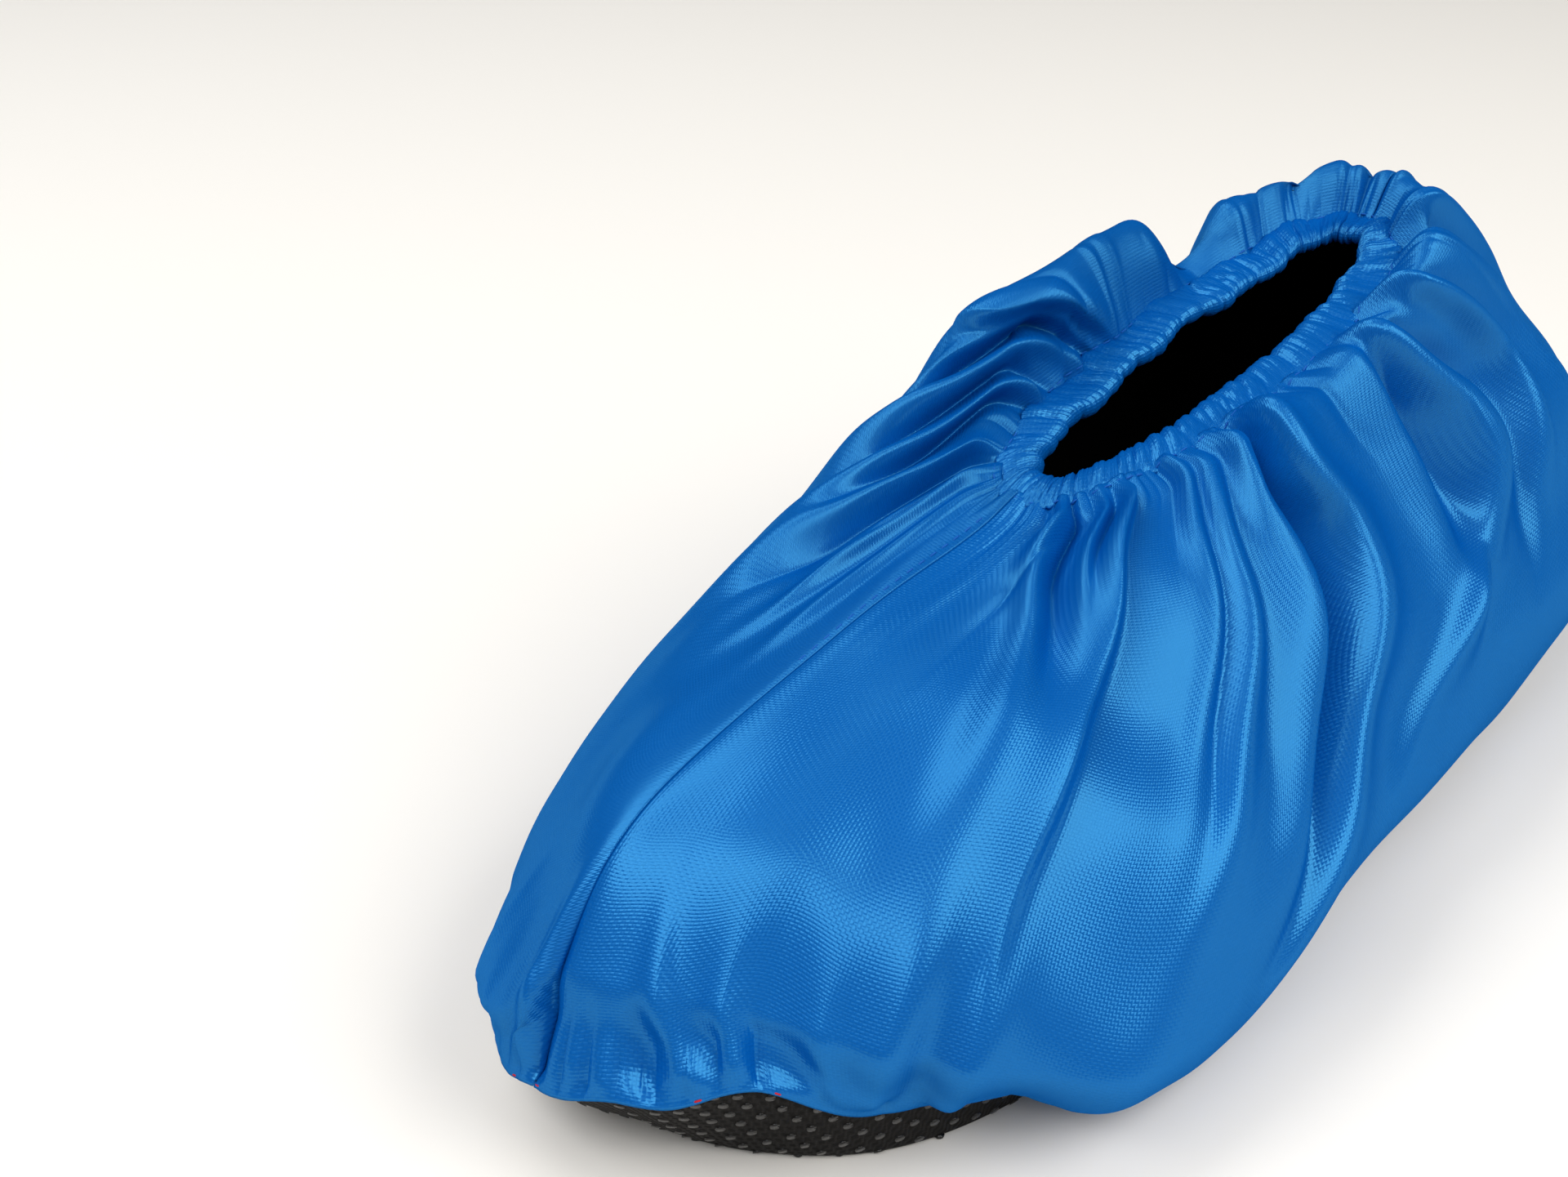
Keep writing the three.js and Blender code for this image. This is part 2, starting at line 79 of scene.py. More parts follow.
# Sections round the cover: 0 at the toe seam, over the outer side of the foot to 0.5 at the heel
# seam, and back over the inner side. edge and droop are shares of TRAY_HEIGHT, inset of TRAY_INSET,
# belly of BELLY, crest of CREST_RISE, and level, cheek, shoulder and rim of RIM_HEIGHT.
SECTION_COLUMNS = "around edge inset droop belly level cheek shoulder crest rim".split()
SECTION_ROWS = [
    [0.0, 0.87, 1.45, 1.28, -0.42, 0.39, 0.6, 0.7, -0.15, 0.81],
    [0.04, 1.08, 1.38, 1.42, -0.44, 0.4, 0.6, 0.7, -0.15, 0.81],
    [0.08, 1.08, 0.85, 1.34, -0.3, 0.38, 0.59, 0.7, -0.15, 0.82],
    [0.12, 0.76, 0.34, 1.0, 0.2, 0.31, 0.54, 0.69, -0.15, 0.83],
    [0.16, 0.52, 0.31, 0.35, 0.8, 0.21, 0.46, 0.68, -0.1, 0.84],
    [0.2, 0.52, 0.38, 0.3, 0.95, 0.2, 0.44, 0.69, -0.05, 0.86],
    [0.25, 0.52, 0.46, 0.35, 0.75, 0.22, 0.46, 0.72, 0.0, 0.88],
    [0.3, 0.52, 0.46, 0.35, 0.8, 0.24, 0.5, 0.76, 0.05, 0.91],
    [0.37, 0.52, 0.46, 0.39, 0.68, 0.29, 0.56, 0.83, 0.25, 0.94],
    [0.43, 0.57, 0.54, 0.52, 0.52, 0.35, 0.65, 0.89, 0.38, 0.97],
    [0.5, 0.65, 0.62, 0.74, 0.45, 0.39, 0.72, 0.93, 0.5, 1.0],
    [0.56, 0.57, 0.54, 0.57, 0.5, 0.35, 0.68, 0.91, 0.52, 0.99],
    [0.605, 0.54, 0.5, 0.48, 0.55, 0.32, 0.62, 0.87, 0.52, 0.97],
    [0.645, 0.52, 0.46, 0.43, 0.6, 0.29, 0.59, 0.85, 0.35, 0.95],
    [0.685, 0.52, 0.46, 0.43, 0.6, 0.27, 0.57, 0.86, 0.3, 0.93],
    [0.725, 0.52, 0.46, 0.43, 0.6, 0.26, 0.57, 0.94, 0.88, 0.91],
    [0.76, 0.52, 0.46, 0.43, 0.55, 0.25, 0.56, 0.97, 1.0, 0.89],
    [0.8, 0.54, 0.52, 0.46, 0.45, 0.25, 0.54, 0.94, 0.9, 0.87],
    [0.84, 0.61, 0.62, 0.52, 0.3, 0.25, 0.54, 0.83, 0.6, 0.84],
    [0.88, 0.7, 0.77, 0.65, 0.15, 0.26, 0.54, 0.74, 0.2, 0.82],
    [0.92, 0.72, 1.05, 0.8, 0.06, 0.24, 0.52, 0.69, -0.05, 0.81],
    [0.96, 0.77, 1.3, 0.88, 0.02, 0.25, 0.54, 0.68, -0.15, 0.81],
]
SECTIONS = dict(zip(SECTION_COLUMNS, np.array(SECTION_ROWS).T))

# Folds of the cloth. Each crosses FOLD_LEVELS, from the hem down, at the six places round the cover
# that open its row, and dies out at the level end. width is its half width round the cover, height a
# share of FOLD_HEIGHT, negative for a valley, and lean makes the side further round the steeper one.
FOLD_LEVELS = [1.0, 0.85, 0.7, 0.55, 0.35, 0.2]
FOLD_ROWS = [
    [0.055, 0.070, 0.107, 0.115, 0.111, 0.106, 0.12, 0.010, 0.55, 0.0],
    [0.062, 0.085, 0.117, 0.127, 0.130, 0.130, 0.50, 0.006, -0.55, 0.0],
    [0.090, 0.103, 0.129, 0.135, 0.138, 0.138, 0.60, 0.005, 0.35, 0.0],
    [0.100, 0.111, 0.131, 0.137, 0.140, 0.140, 0.62, 0.005, -0.45, 0.0],
    [0.112, 0.124, 0.141, 0.138, 0.131, 0.128, 0.12, 0.010, 0.85, 0.75],
    [0.148, 0.165, 0.182, 0.178, 0.165, 0.155, 0.25, 0.006, 0.35, 0.0],
    [0.155, 0.171, 0.187, 0.182, 0.168, 0.158, 0.30, 0.005, -0.5, 0.0],
    [0.158, 0.176, 0.194, 0.190, 0.174, 0.162, 0.15, 0.009, 0.7, -0.2],
    [0.172, 0.190, 0.205, 0.205, 0.195, 0.180, 0.35, 0.008, -0.4, 0.0],
    [0.190, 0.207, 0.226, 0.226, 0.207, 0.190, 0.20, 0.010, 0.85, 0.55],
    [0.198, 0.212, 0.236, 0.239, 0.216, 0.196, 0.15, 0.006, -1.1, 0.0],
    [0.202, 0.222, 0.250, 0.250, 0.226, 0.203, 0.06, 0.013, 1.3, -0.4],
    [0.285, 0.296, 0.303, 0.303, 0.290, 0.275, 0.30, 0.008, 0.45, 0.3],
    [0.296, 0.306, 0.314, 0.316, 0.300, 0.285, 0.25, 0.009, -0.8, 0.0],
    [0.297, 0.314, 0.330, 0.322, 0.272, 0.243, 0.20, 0.014, 1.25, -0.35],
    [0.312, 0.332, 0.358, 0.355, 0.330, 0.310, 0.30, 0.009, -0.8, 0.0],
    [0.338, 0.362, 0.378, 0.366, 0.340, 0.320, 0.35, 0.010, 0.95, -0.3],
    [0.355, 0.377, 0.388, 0.380, 0.360, 0.340, 0.45, 0.008, -0.4, 0.0],
    [0.400, 0.408, 0.414, 0.412, 0.405, 0.400, 0.30, 0.012, 0.45, 0.0],
    [0.425, 0.430, 0.434, 0.430, 0.425, 0.420, 0.40, 0.008, -0.4, 0.0],
    [0.455, 0.456, 0.458, 0.458, 0.455, 0.455, 0.45, 0.012, 0.4, 0.0],
    [0.520, 0.522, 0.524, 0.524, 0.522, 0.520, 0.50, 0.009, -0.35, 0.0],
    [0.548, 0.549, 0.552, 0.555, 0.555, 0.555, 0.30, 0.018, 0.15, 0.2],
    [0.590, 0.586, 0.582, 0.580, 0.580, 0.580, 0.30, 0.010, -0.45, 0.0],
    [0.642, 0.636, 0.628, 0.622, 0.618, 0.614, 0.35, 0.017, 0.42, 0.0],
    [0.684, 0.680, 0.676, 0.670, 0.665, 0.660, 0.35, 0.012, -0.75, 0.0],
    [0.722, 0.718, 0.710, 0.700, 0.690, 0.685, 0.25, 0.018, 0.3, 0.2],
    [0.766, 0.818, 0.800, 0.790, 0.780, 0.770, 0.50, 0.012, 0.65, 0.7],
    [0.785, 0.830, 0.822, 0.810, 0.800, 0.790, 0.50, 0.006, -1.0, -0.6],
    [0.802, 0.845, 0.838, 0.826, 0.820, 0.815, 0.40, 0.009, 0.6, 0.0],
    [0.830, 0.858, 0.852, 0.845, 0.840, 0.835, 0.55, 0.005, -0.7, 0.0],
    [0.837, 0.869, 0.862, 0.855, 0.850, 0.845, 0.35, 0.008, 0.5, 0.0],
    [0.850, 0.880, 0.872, 0.866, 0.862, 0.860, 0.60, 0.005, -0.6, 0.0],
    [0.905, 0.898, 0.880, 0.868, 0.866, 0.866, 0.25, 0.009, 0.55, 0.0],
    [0.916, 0.912, 0.898, 0.885, 0.880, 0.880, 0.45, 0.006, -0.4, 0.0],
    [0.934, 0.940, 0.926, 0.915, 0.910, 0.908, 0.45, 0.009, 0.45, 0.0],
    [0.965, 0.962, 0.955, 0.950, 0.945, 0.940, 0.50, 0.008, 0.25, 0.0],
]
FOLD_START = 0.09  # a fold reaches its full height this far below the hem
FOLD_AT_HEM = 0.22  # this much of a fold is left where it enters the hem
FOLD_FADE = 0.6  # share of a fold's length over which it dies out

# The cloth drifts round the cover between the hem and the sole, and its pleats follow it: by these
# turns at the drift's fullest, and by this share of them at each level.
DRIFT_PLACES = [0.0, 0.06, 0.11, 0.16, 0.2, 0.3, 0.35, 0.42, 0.5]
DRIFT_TURNS = [0.0, 0.022, 0.030, 0.034, 0.048, 0.036, 0.030, 0.012, 0.0]
DRIFT_LEVELS = [0.0, 0.2, 0.35, 0.62, 0.85, 1.0]
DRIFT_SHARES = [0.0, 0.15, 0.5, 1.0, 0.45, 0.0]

# Puckers that rise from the seam of the sole at the toe: place at the seam and at BELLY_LEVEL, the
# level where each dies out, half width and height.
TOE_PUCKERS = [
    [0.020, 0.012, 0.20, 0.006, 0.0006],
    [0.045, 0.046, 0.20, 0.008, -0.0016],
    [0.066, 0.040, 0.36, 0.006, 0.0022],
    [0.071, 0.062, 0.26, 0.005, -0.0012],
    [0.076, 0.068, 0.30, 0.005, 0.0018],
    [0.089, 0.084, 0.34, 0.008, -0.0018],
    [0.101, 0.096, 0.26, 0.004, 0.0018],
    [0.110, 0.116, 0.44, 0.006, 0.0026],
    [0.118, 0.124, 0.34, 0.005, -0.0018],
    [0.126, 0.134, 0.42, 0.005, 0.0022],
    [0.140, 0.148, 0.36, 0.008, -0.0014],
    [0.155, 0.165, 0.34, 0.007, 0.0016],
    [0.985, 0.990, 0.30, 0.006, 0.0006],
    [0.960, 0.968, 0.28, 0.006, -0.0008],
    [0.940, 0.946, 0.34, 0.006, 0.0008],
    [0.915, 0.922, 0.26, 0.007, -0.0010],
    [0.895, 0.900, 0.30, 0.006, 0.0010],
    [0.470, 0.474, 0.26, 0.006, 0.0012],
    [0.528, 0.524, 0.26, 0.006, 0.0012],
]

SMALL_FOLDS = 80  # pleats too small to chart, drawn by lot
SMALL_FOLD_HEIGHT = 0.0009
PUCKERS = 54  # round the hem, one every 4 to 5 mm
PLEAT_HEIGHT = 0.0014
SEAM_PUCKERS = 90  # round the seam of the sole
SEAM_PUCKER_HEIGHT = 0.0008
SEAM_LAP = 0.0010  # the cloth laps over the sole's edge
SCALLOP = 0.0016  # the seam of the sole rises and falls by this much
TOE_GROOVE = 0.0026  # the toe seam sinks this deep into the cloth near the sole
WAVINESS = 0.0006  # soft dents of the smooth stretches

PANEL_COLUMNS = 480
PANEL_ROWS = 180
LINING_STEP = 4  # the inner face has one row and column for this many of the outer one's
CLOTH = 0.0011
PANEL_GAP = 0.0003
BELLY_LEVEL = 0.3
GATHER_SHARE = 0.42  # share of the cloth's width that the gathers take up at the hem


def hermite(t, h, start, end, slope_start, slope_end):
    """Cubic at share t of a stretch of length h, from two end values and two end slopes."""
    t2, t3 = t * t, t * t * t
    ends = (2 * t3 - 3 * t2 + 1) * start + (3 * t2 - 2 * t3) * end
    return ends + h * ((t3 - 2 * t2 + t) * slope_start + (t3 - t2) * slope_end)


def smooth_curve(x, places, values):
    """Cubic through values at places, each slope that of the line between the two neighbours."""
    places, values = np.asarray(places, float), np.asarray(values, float)
    last = len(places) - 1
    i = np.clip(np.searchsorted(places, x, side="right") - 1, 0, last - 1)
    before, after = np.maximum(i - 1, 0), np.minimum(i + 2, last)
    h = places[i + 1] - places[i]
    slope_start = (values[i + 1] - values[before]) / (places[i + 1] - places[before])
    slope_end = (values[after] - values[i]) / (places[after] - places[i])
    return hermite((x - places[i]) / h, h, values[i], values[i + 1], slope_start, slope_end)


def section(u, column):
    """A column of SECTIONS as a smooth closed curve round the cover."""
    places, values = SECTIONS["around"], SECTIONS[column]
    places = np.concatenate([places[-3:] - 1, places, places[:3] + 1])
    values = np.concatenate([values[-3:], values, values[:3]])
    return smooth_curve(u % 1, places, values)


def turn_from(a, b):
    """Distance round the cover from b to a, the short way, with its sign."""
    return a - b - np.round(a - b)


def smooth_step(x):
    """3t squared less 2t cubed, with t held between 0 and 1."""
    t = np.clip(x, 0, 1)
    return t * t * (3 - 2 * t)


def points_of(x, y, z):
    """Three coordinate arrays as one array of points."""
    return np.stack(np.broadcast_arrays(x, y, z), axis=-1)


def unit(directions):
    """Directions divided by their length."""
    return directions / np.linalg.norm(directions, axis=-1, keepdims=True)


def at_height(points, z):
    """The same points at height z."""
    return points_of(points[..., 0], points[..., 1], z)


def sole_seam(u):
    """Plan of the sole's seam: a charted half width times the root of one less the squared share
    into the rounded toe or heel."""
    angle = 2 * np.pi * u
    share = 0.5 - 0.5 * np.cos(angle)
    y = share * SOLE_LENGTH
    toe = np.maximum(TOE_ROUND_LENGTH - y, 0) / TOE_ROUND_LENGTH
    heel = np.maximum(y - SOLE_LENGTH + HEEL_ROUND_LENGTH, 0) / HEEL_ROUND_LENGTH
    rounding = np.sqrt(np.maximum(1 - toe**2 - heel**2, 0))
    outer = smooth_curve(share, OUTLINE_ALONG, OUTLINE_OUTER)
    inner = smooth_curve(share, OUTLINE_ALONG, OUTLINE_INNER)
    half = SOLE_WIDTH * np.where(np.sin(angle) >= 0, outer, -inner)
    return points_of(half * rounding, y - SOLE_LENGTH / 2, 0.0)


def sole_outward(u):
    """Level direction square to the seam, away from the foot."""
    run = sole_seam(u + 1e-4) - sole_seam(u - 1e-4)
    return unit(points_of(run[..., 1], -run[..., 0], 0.0))


def mouth_edge(u):
    """The mouth in plan is an ellipse with its sine raised to MOUTH_POWER, at the charted height."""
    angle = 2 * np.pi * u
    sine = np.sin(angle)
    x = MOUTH_WIDTH / 2 * np.sign(sine) * np.abs(sine) ** MOUTH_POWER
    y = SOLE_LENGTH / 2 - MOUTH_TO_HEEL - MOUTH_LENGTH / 2 * (1 + np.cos(angle))
    return points_of(x, y, RIM_HEIGHT * section(u, "rim"))


def mouth_outward(u):
    """Level direction from the mouth's edge over the hem: half way to the sole, half square to it."""
    spread = unit(at_height(sole_seam(u) - mouth_edge(u), 0.0))
    return unit(spread + sole_outward(u))


def scallop(u):
    """Rise of the sole's seam: three waves of 9, 14 and 23 turns, strongest round the toe."""
    waves = np.sin(2 * np.pi * (14 * u + 0.1)) + 0.6 * np.sin(2 * np.pi * (23 * u + 0.4))
    waves = waves + 0.5 * np.sin(2 * np.pi * (9 * u + 0.7))
    return SCALLOP * waves * (0.4 + 0.6 * np.exp(-((turn_from(u, 0.06) / 0.09) ** 2)))


def seam_height(u):
    """Height of the sole's seam: the charted edge and the scallop."""
    return TRAY_HEIGHT * section(u, "edge") + scallop(u)


def sheet_point(u, v):
    """The cloth without its folds: for each place round the cover a smooth curve through seven
    guide points, from the seam of the sole over the belly and the puff at the mouth to the hem."""
    out, over, mouth = sole_outward(u), mouth_outward(u), mouth_edge(u)
    seam = at_height(sole_seam(u) + out * SEAM_LAP, seam_height(u) - SEAM_LAP)
    belly_out = (BELLY * section(u, "belly"))[..., None]
    belly = at_height(seam + out * belly_out, RIM_HEIGHT * section(u, "level"))
    droop = TRAY_HEIGHT * section(u, "droop") + scallop(u)
    under = at_height(seam + out * belly_out * UNDER_BELLY, droop)
    cheek = mouth + (belly - mouth) * CHEEK_SHARE
    cheek = at_height(cheek, RIM_HEIGHT * section(u, "cheek"))
    shoulder = mouth + (belly - mouth) * SHOULDER_SHARE
    shoulder = at_height(shoulder, RIM_HEIGHT * section(u, "shoulder"))
    crest = mouth + over * CREST_REACH
    crest = at_height(crest, crest[..., 2] + CREST_RISE * section(u, "crest"))
    guides = [seam, under, belly, cheek, shoulder, crest, mouth + over * HEM_WIDTH]
    steps = [np.linalg.norm(b - a, axis=-1) ** KNOT_POWER for a, b in zip(guides, guides[1:])]
    knots = np.concatenate([[np.zeros_like(steps[0])], np.cumsum(steps, axis=0)])
    knots = (knots / knots[-1])[..., None]
    last = len(guides) - 1
    u, v = np.broadcast_arrays(u, v)
    points = np.zeros(v.shape + (3,))
    for i in range(last):
        before, after = max(i - 1, 0), min(i + 2, last)
        h = knots[i + 1] - knots[i]
        slope_start = (guides[i + 1] - guides[before]) / (knots[i + 1] - knots[before])
        slope_end = (guides[after] - guides[i]) / (knots[after] - knots[i])
        t = (v[..., None] - knots[i]) / h
        stretch = hermite(t, h, guides[i], guides[i + 1], slope_start, slope_end)
        points = np.where(v[..., None] >= knots[i], stretch, points)
    return points


def sheet_normal(u, v):
    """Square to the sheet, from the cross product of its differences round and up."""
    step = 0.002
    around = sheet_point(u + step, v) - sheet_point(u - step, v)
    up = sheet_point(u, np.minimum(v + step, 1)) - sheet_point(u, np.maximum(v - step, 0))
    normal = np.cross(around, up)
    in_middle_plane = np.abs(turn_from(2 * u, 0)) < 1e-9
    normal[..., 0] = np.where(in_middle_plane, 0, normal[..., 0])
    return unit(normal)


def fold_profile(off, width, lean, height):
    """Cross-section of a fold: a bell, narrower on the steep side; a valley has a sharper bottom."""
    half = width * (1 - lean * np.sign(off))
    power = 2.0 if height > 0 else 1.5
    return np.exp(-np.abs(off / half) ** power)


def charted_folds(u, v):
    """Sum of the folds in FOLD_ROWS. A fold's middle line is a smooth curve through its six places."""
    total = np.zeros(np.broadcast(u, v).shape)
    levels = FOLD_LEVELS[::-1]
    for row in FOLD_ROWS:
        end, width, height, lean = row[6:]
        place = smooth_curve(v, levels, row[5::-1])
        profile = fold_profile(turn_from(u, place), width, lean, height)
        hem = FOLD_AT_HEM + (1 - FOLD_AT_HEM) * smooth_step((1 - v) / FOLD_START)
        total += FOLD_HEIGHT * height * profile * hem * smooth_step((v - end) / (1 - end) / FOLD_FADE)
    return total


def drifted(u, v):
    """Place round the cover of the cloth that leaves the hem at u, when it has come down to v."""
    turns = smooth_curve(u, DRIFT_PLACES, DRIFT_TURNS) * (u < 0.5)
    return u + turns * smooth_curve(v, DRIFT_LEVELS, DRIFT_SHARES)


def small_folds(u, v):
    """Sum of short pleats from the hem, each with a drawn place, drift, length, width and height."""
    draw = np.random.default_rng(7)
    total = np.zeros(np.broadcast(u, v).shape)
    for _ in range(SMALL_FOLDS):
        rim, drift = draw.uniform(0, 1), draw.normal(0, 0.02)
        end, width = draw.uniform(0.5, 0.88), draw.uniform(0.0035, 0.008)
        height, lean = draw.normal(0, 1), draw.uniform(-0.5, 0.5)
        place = rim + drift * (1 - v)
        half = width * (0.7 + 1.2 * (1 - v))
        profile = fold_profile(turn_from(u, place), half, lean, height)
        fade = smooth_step((v - end) / (1 - end) / 0.5) * smooth_step((1 - v) / 0.03 + 0.3)
        total += SMALL_FOLD_HEIGHT * height * profile * fade
    return total * (1 - 0.9 * np.exp(-((turn_from(u, 0.70) / 0.10) ** 2)))


def uneven_turn(u):
    """u with three slow waves added, so that evenly numbered puckers crowd and spread."""
    waves = 0.0040 * np.sin(2 * np.pi * (5 * u + 0.2)) + 0.0026 * np.sin(2 * np.pi * (11 * u + 0.4))
    return u + waves + 0.0016 * np.sin(2 * np.pi * (19 * u + 0.7))


def pucker(u, count):
    """Rounded ridges with sharp valleys between: the root of the size of a cosine, from 0 to 1."""
    return np.sqrt(np.abs(np.cos(np.pi * count * uneven_turn(u))))


def hem_pleats(u, v):
    """Pleats that run out from the hem's puckers, in three sizes, the finest the shortest. The
    finest are weaker on the inner side behind the mouth, and the others away from the toe."""
    total = 0.0
    for count, reach, height in ((PUCKERS, 0.11, 1.0), (PUCKERS // 2, 0.22, 1.0), (PUCKERS // 3, 0.36, 0.9)):
        fade = smooth_step(1 - (1 - v) / reach)
        uneven = 0.65 + 0.35 * np.sin(2 * np.pi * (count / 5 * u) + count)
        strength = 0.25 + 0.75 * np.exp(-((turn_from(u, 0.08) / 0.16) ** 2))
        if count == PUCKERS:
            strength = 1 - 0.6 * np.exp(-((turn_from(u, 0.66) / 0.13) ** 4))
        total = total + height * (pucker(u, count) - 0.75) * fade * uneven * strength
    return PLEAT_HEIGHT * total


def seam_puckers(u, v):
    """Short ridges that rise from the seam of the sole, where the cloth is eased onto it."""
    toe = np.exp(-((turn_from(u, 0.06) / 0.10) ** 2))
    reach = 0.10 + 0.10 * toe * (0.6 + 0.4 * np.sin(2 * np.pi * 17 * u))
    fade = smooth_step(1 - v / reach)
    fine = pucker(u, SEAM_PUCKERS) - 0.75
    coarse = pucker(u + 0.3, SEAM_PUCKERS // 3) - 0.75
    return SEAM_PUCKER_HEIGHT * (0.5 + 1.3 * toe) * (fine * fade + 1.5 * coarse * fade)


def toe_puckers(u, v):
    """Sum of the straight folds in TOE_PUCKERS, each fullest near the seam."""
    total = np.zeros(np.broadcast(u, v).shape)
    for foot, top, end, width, height in TOE_PUCKERS:
        off = turn_from(u, foot + (top - foot) * v / BELLY_LEVEL)
        fade = smooth_step((end - v) / end / 0.8) * smooth_step((v - 0.005) / 0.05)
        total += height * np.exp(-((off / width) ** 2)) * fade
    return total


def seam_groove(u, v):
    """The seams of the toe and heel lie in a groove, and the cloth rises beside the toe's."""
    deep = 0.10 + 0.90 * smooth_step((0.32 - v) / 0.22)
    off = turn_from(u, 0)
    groove = -TOE_GROOVE * deep * np.exp(-np.abs(off / 0.0045) ** 1.3)
    bulge_height = smooth_step(v / 0.08) * smooth_step((0.36 - v) / 0.22)
    bulge = 0.0024 * np.exp(-(((off + 0.010) / 0.007) ** 2)) * bulge_height
    heel = -0.0009 * np.exp(-np.abs(turn_from(u, 0.5) / 0.003) ** 1.3)
    return (groove + bulge + heel) * smooth_step((1 - v) / 0.03)


def soft_dents(u, v):
    """Sum of six slow waves over the cloth, with drawn directions, as limp cloth is never quite smooth."""
    draw = np.random.default_rng(3)
    total = 0.0
    for _ in range(6):
        around, up = draw.integers(3, 15), draw.uniform(1, 5)
        total = total + np.sin(2 * np.pi * (around * u + up * v + draw.uniform(0, 1)))
    return WAVINESS / 2 * total * smooth_step(v / 0.1) * smooth_step((1 - v) / 0.1)


def cloth_lift(start, v):
    """Height over the smooth sheet of the cloth that leaves the hem at start: the sum of all folds."""
    u = drifted(start, v)
    lift = charted_folds(u, v) + small_folds(start, v) + hem_pleats(start, v)
    lift = lift + seam_puckers(u, v) + toe_puckers(u, v) + seam_groove(u, v) + soft_dents(u, v)
    return lift * (0.15 + 0.85 * smooth_step(v / 0.03))


def cloth_point(start, v, lift):
    """A point of the cloth that leaves the hem at start, at a height over the smooth sheet."""
    u = drifted(start, v)
    points = sheet_point(u, v) + sheet_normal(u, v) * lift[..., None]
    near = np.exp(-((turn_from(u, 0) / SEAM_BEND_REACH) ** 2))
    points[..., 0] -= SEAM_BEND * np.sin(np.pi * v) * near
    return points


def lowest_around(lift, reach):
    """Each value replaced by the lowest one within reach columns and rows of it."""
    for axis in (0, 1):
        padding = [(reach, reach) if a == axis else (0, 0) for a in (0, 1)]
        padded = np.pad(lift, padding, mode="edge")
        count = lift.shape[axis]
        shifted = [np.take(padded, np.arange(k, k + count), axis=axis) for k in range(2 * reach + 1)]
        lift = np.min(shifted, axis=0)
    return lift


def grid_faces(columns, rows, first=0):
    """Corner numbers of the quads of a grid whose points are numbered up each column in turn."""
    i, j = np.meshgrid(np.arange(columns - 1), np.arange(rows - 1), indexing="ij")
    corner = first + i * rows + j
    return np.stack([corner, corner + rows, corner + rows + 1, corner + 1], axis=-1).reshape(-1, 4)


def joined(*grids):
    """The points of several grids in one list."""
    return np.concatenate([grid.reshape(-1, grid.shape[-1]) for grid in grids])


def new_object(name, points, faces, material, smooth=True):
    """A mesh object in the cover's own frame from an array of points and a list of faces."""
    mesh = bpy.data.meshes.new(name)
    mesh.from_pydata(np.asarray(points).reshape(-1, 3), [], [list(map(int, f)) for f in faces])
    mesh.polygons.foreach_set("use_smooth", [smooth] * len(mesh.polygons))
    mesh.materials.append(material)
    mesh.update()
    made = bpy.data.objects.new(name, mesh)
    bpy.context.scene.collection.objects.link(made)
    return made


def linear(srgb):
    """An sRGB hex colour as linear red, green, blue and full cover."""
    parts = [int(srgb[i : i + 2], 16) / 255 for i in (1, 3, 5)]
    return [p / 12.92 if p <= 0.04045 else ((p + 0.055) / 1.055) ** 2.4 for p in parts] + [1.0]


def add_node(tree, kind, settings=None, inputs=None):
    """Adds a node, sets its properties, and fills its inputs with values or other nodes' outputs."""
    node = tree.nodes.new(kind)
    for name, value in (settings or {}).items():
        setattr(node, name, value)
    for name, value in (inputs or {}).items():
        if isinstance(value, bpy.types.NodeSocket):
            tree.links.new(value, node.inputs[name])
        else:
            node.inputs[name].default_value = value
    return node


def calculated(tree, operation, *values):
    """The output of a Math node whose inputs are values or other nodes' outputs."""
    return add_node(tree, "ShaderNodeMath", {"operation": operation}, dict(enumerate(values))).outputs[0]


def bumped(tree, height, distance, strength=1.0):
    """The normal that a Bump node makes of a height, where distance is the height's scale."""
    inputs = {"Height": height, "Distance": distance, "Strength": strength}
    return add_node(tree, "ShaderNodeBump", inputs=inputs).outputs[0]


def noise(tree, scale, detail=2.0):
    """A Noise node's output, fixed to the object."""
    place = add_node(tree, "ShaderNodeTexCoord")
    inputs = {"Vector": place.outputs["Object"], "Scale": scale, "Detail": detail}
    return add_node(tree, "ShaderNodeTexNoise", inputs=inputs).outputs[0]


def mixed_color(tree, share, first, second):
    """A colour between two sRGB ones, at a share that another node gives."""
    inputs = {0: share, 6: linear(first), 7: linear(second)}
    return add_node(tree, "ShaderNodeMix", {"data_type": "RGBA"}, inputs).outputs[2]


def new_material(name):
    """A material whose node tree is empty but for its output."""
    material = bpy.data.materials.new(name)
    material.use_nodes = True
    tree = material.node_tree
    tree.nodes.clear()
    return material, tree, add_node(tree, "ShaderNodeOutputMaterial")


def plain_material(name, inputs_of):
    """A material with one Principled node, whose inputs a function of the node tree gives."""
    material, tree, output = new_material(name)
    surface = add_node(tree, "ShaderNodeBsdfPrincipled", inputs=inputs_of(tree))
    tree.links.new(surface.outputs[0], output.inputs[0])
    return material


# Oxford cloth: plain weave, calendered and coated, so each thread is a flat glossy float. It gives
# soft bright sheets of light, and a grid of bright points inside them. The dye tints what the threads
# mirror, so that even the highlights stay blue.
THREAD = 0.00062  # a guess: a 210 denier cloth has 0.45 mm, and the photo's repeats every 0.7 to 0.8 mm
THREAD_RELIEF = 0.000070
CLOTH_ROUGHNESS = 0.38
CLOTH_COLOR = "#004c99"
CLOTH_COLOR_WORN = "#0053a3"
GLOSS_COLOR = "#64d0ff"
GLOSS_BROAD = 0.055  # share of light the threads mirror at all angles, softly
GLOSS_SHARP = 0.066  # and sharply
# Painted shade: the inside of the cover is coloured near-black because it lies in shade, not because the
# cloth is black.
INSIDE_SHADE_COLOR = "#030406"


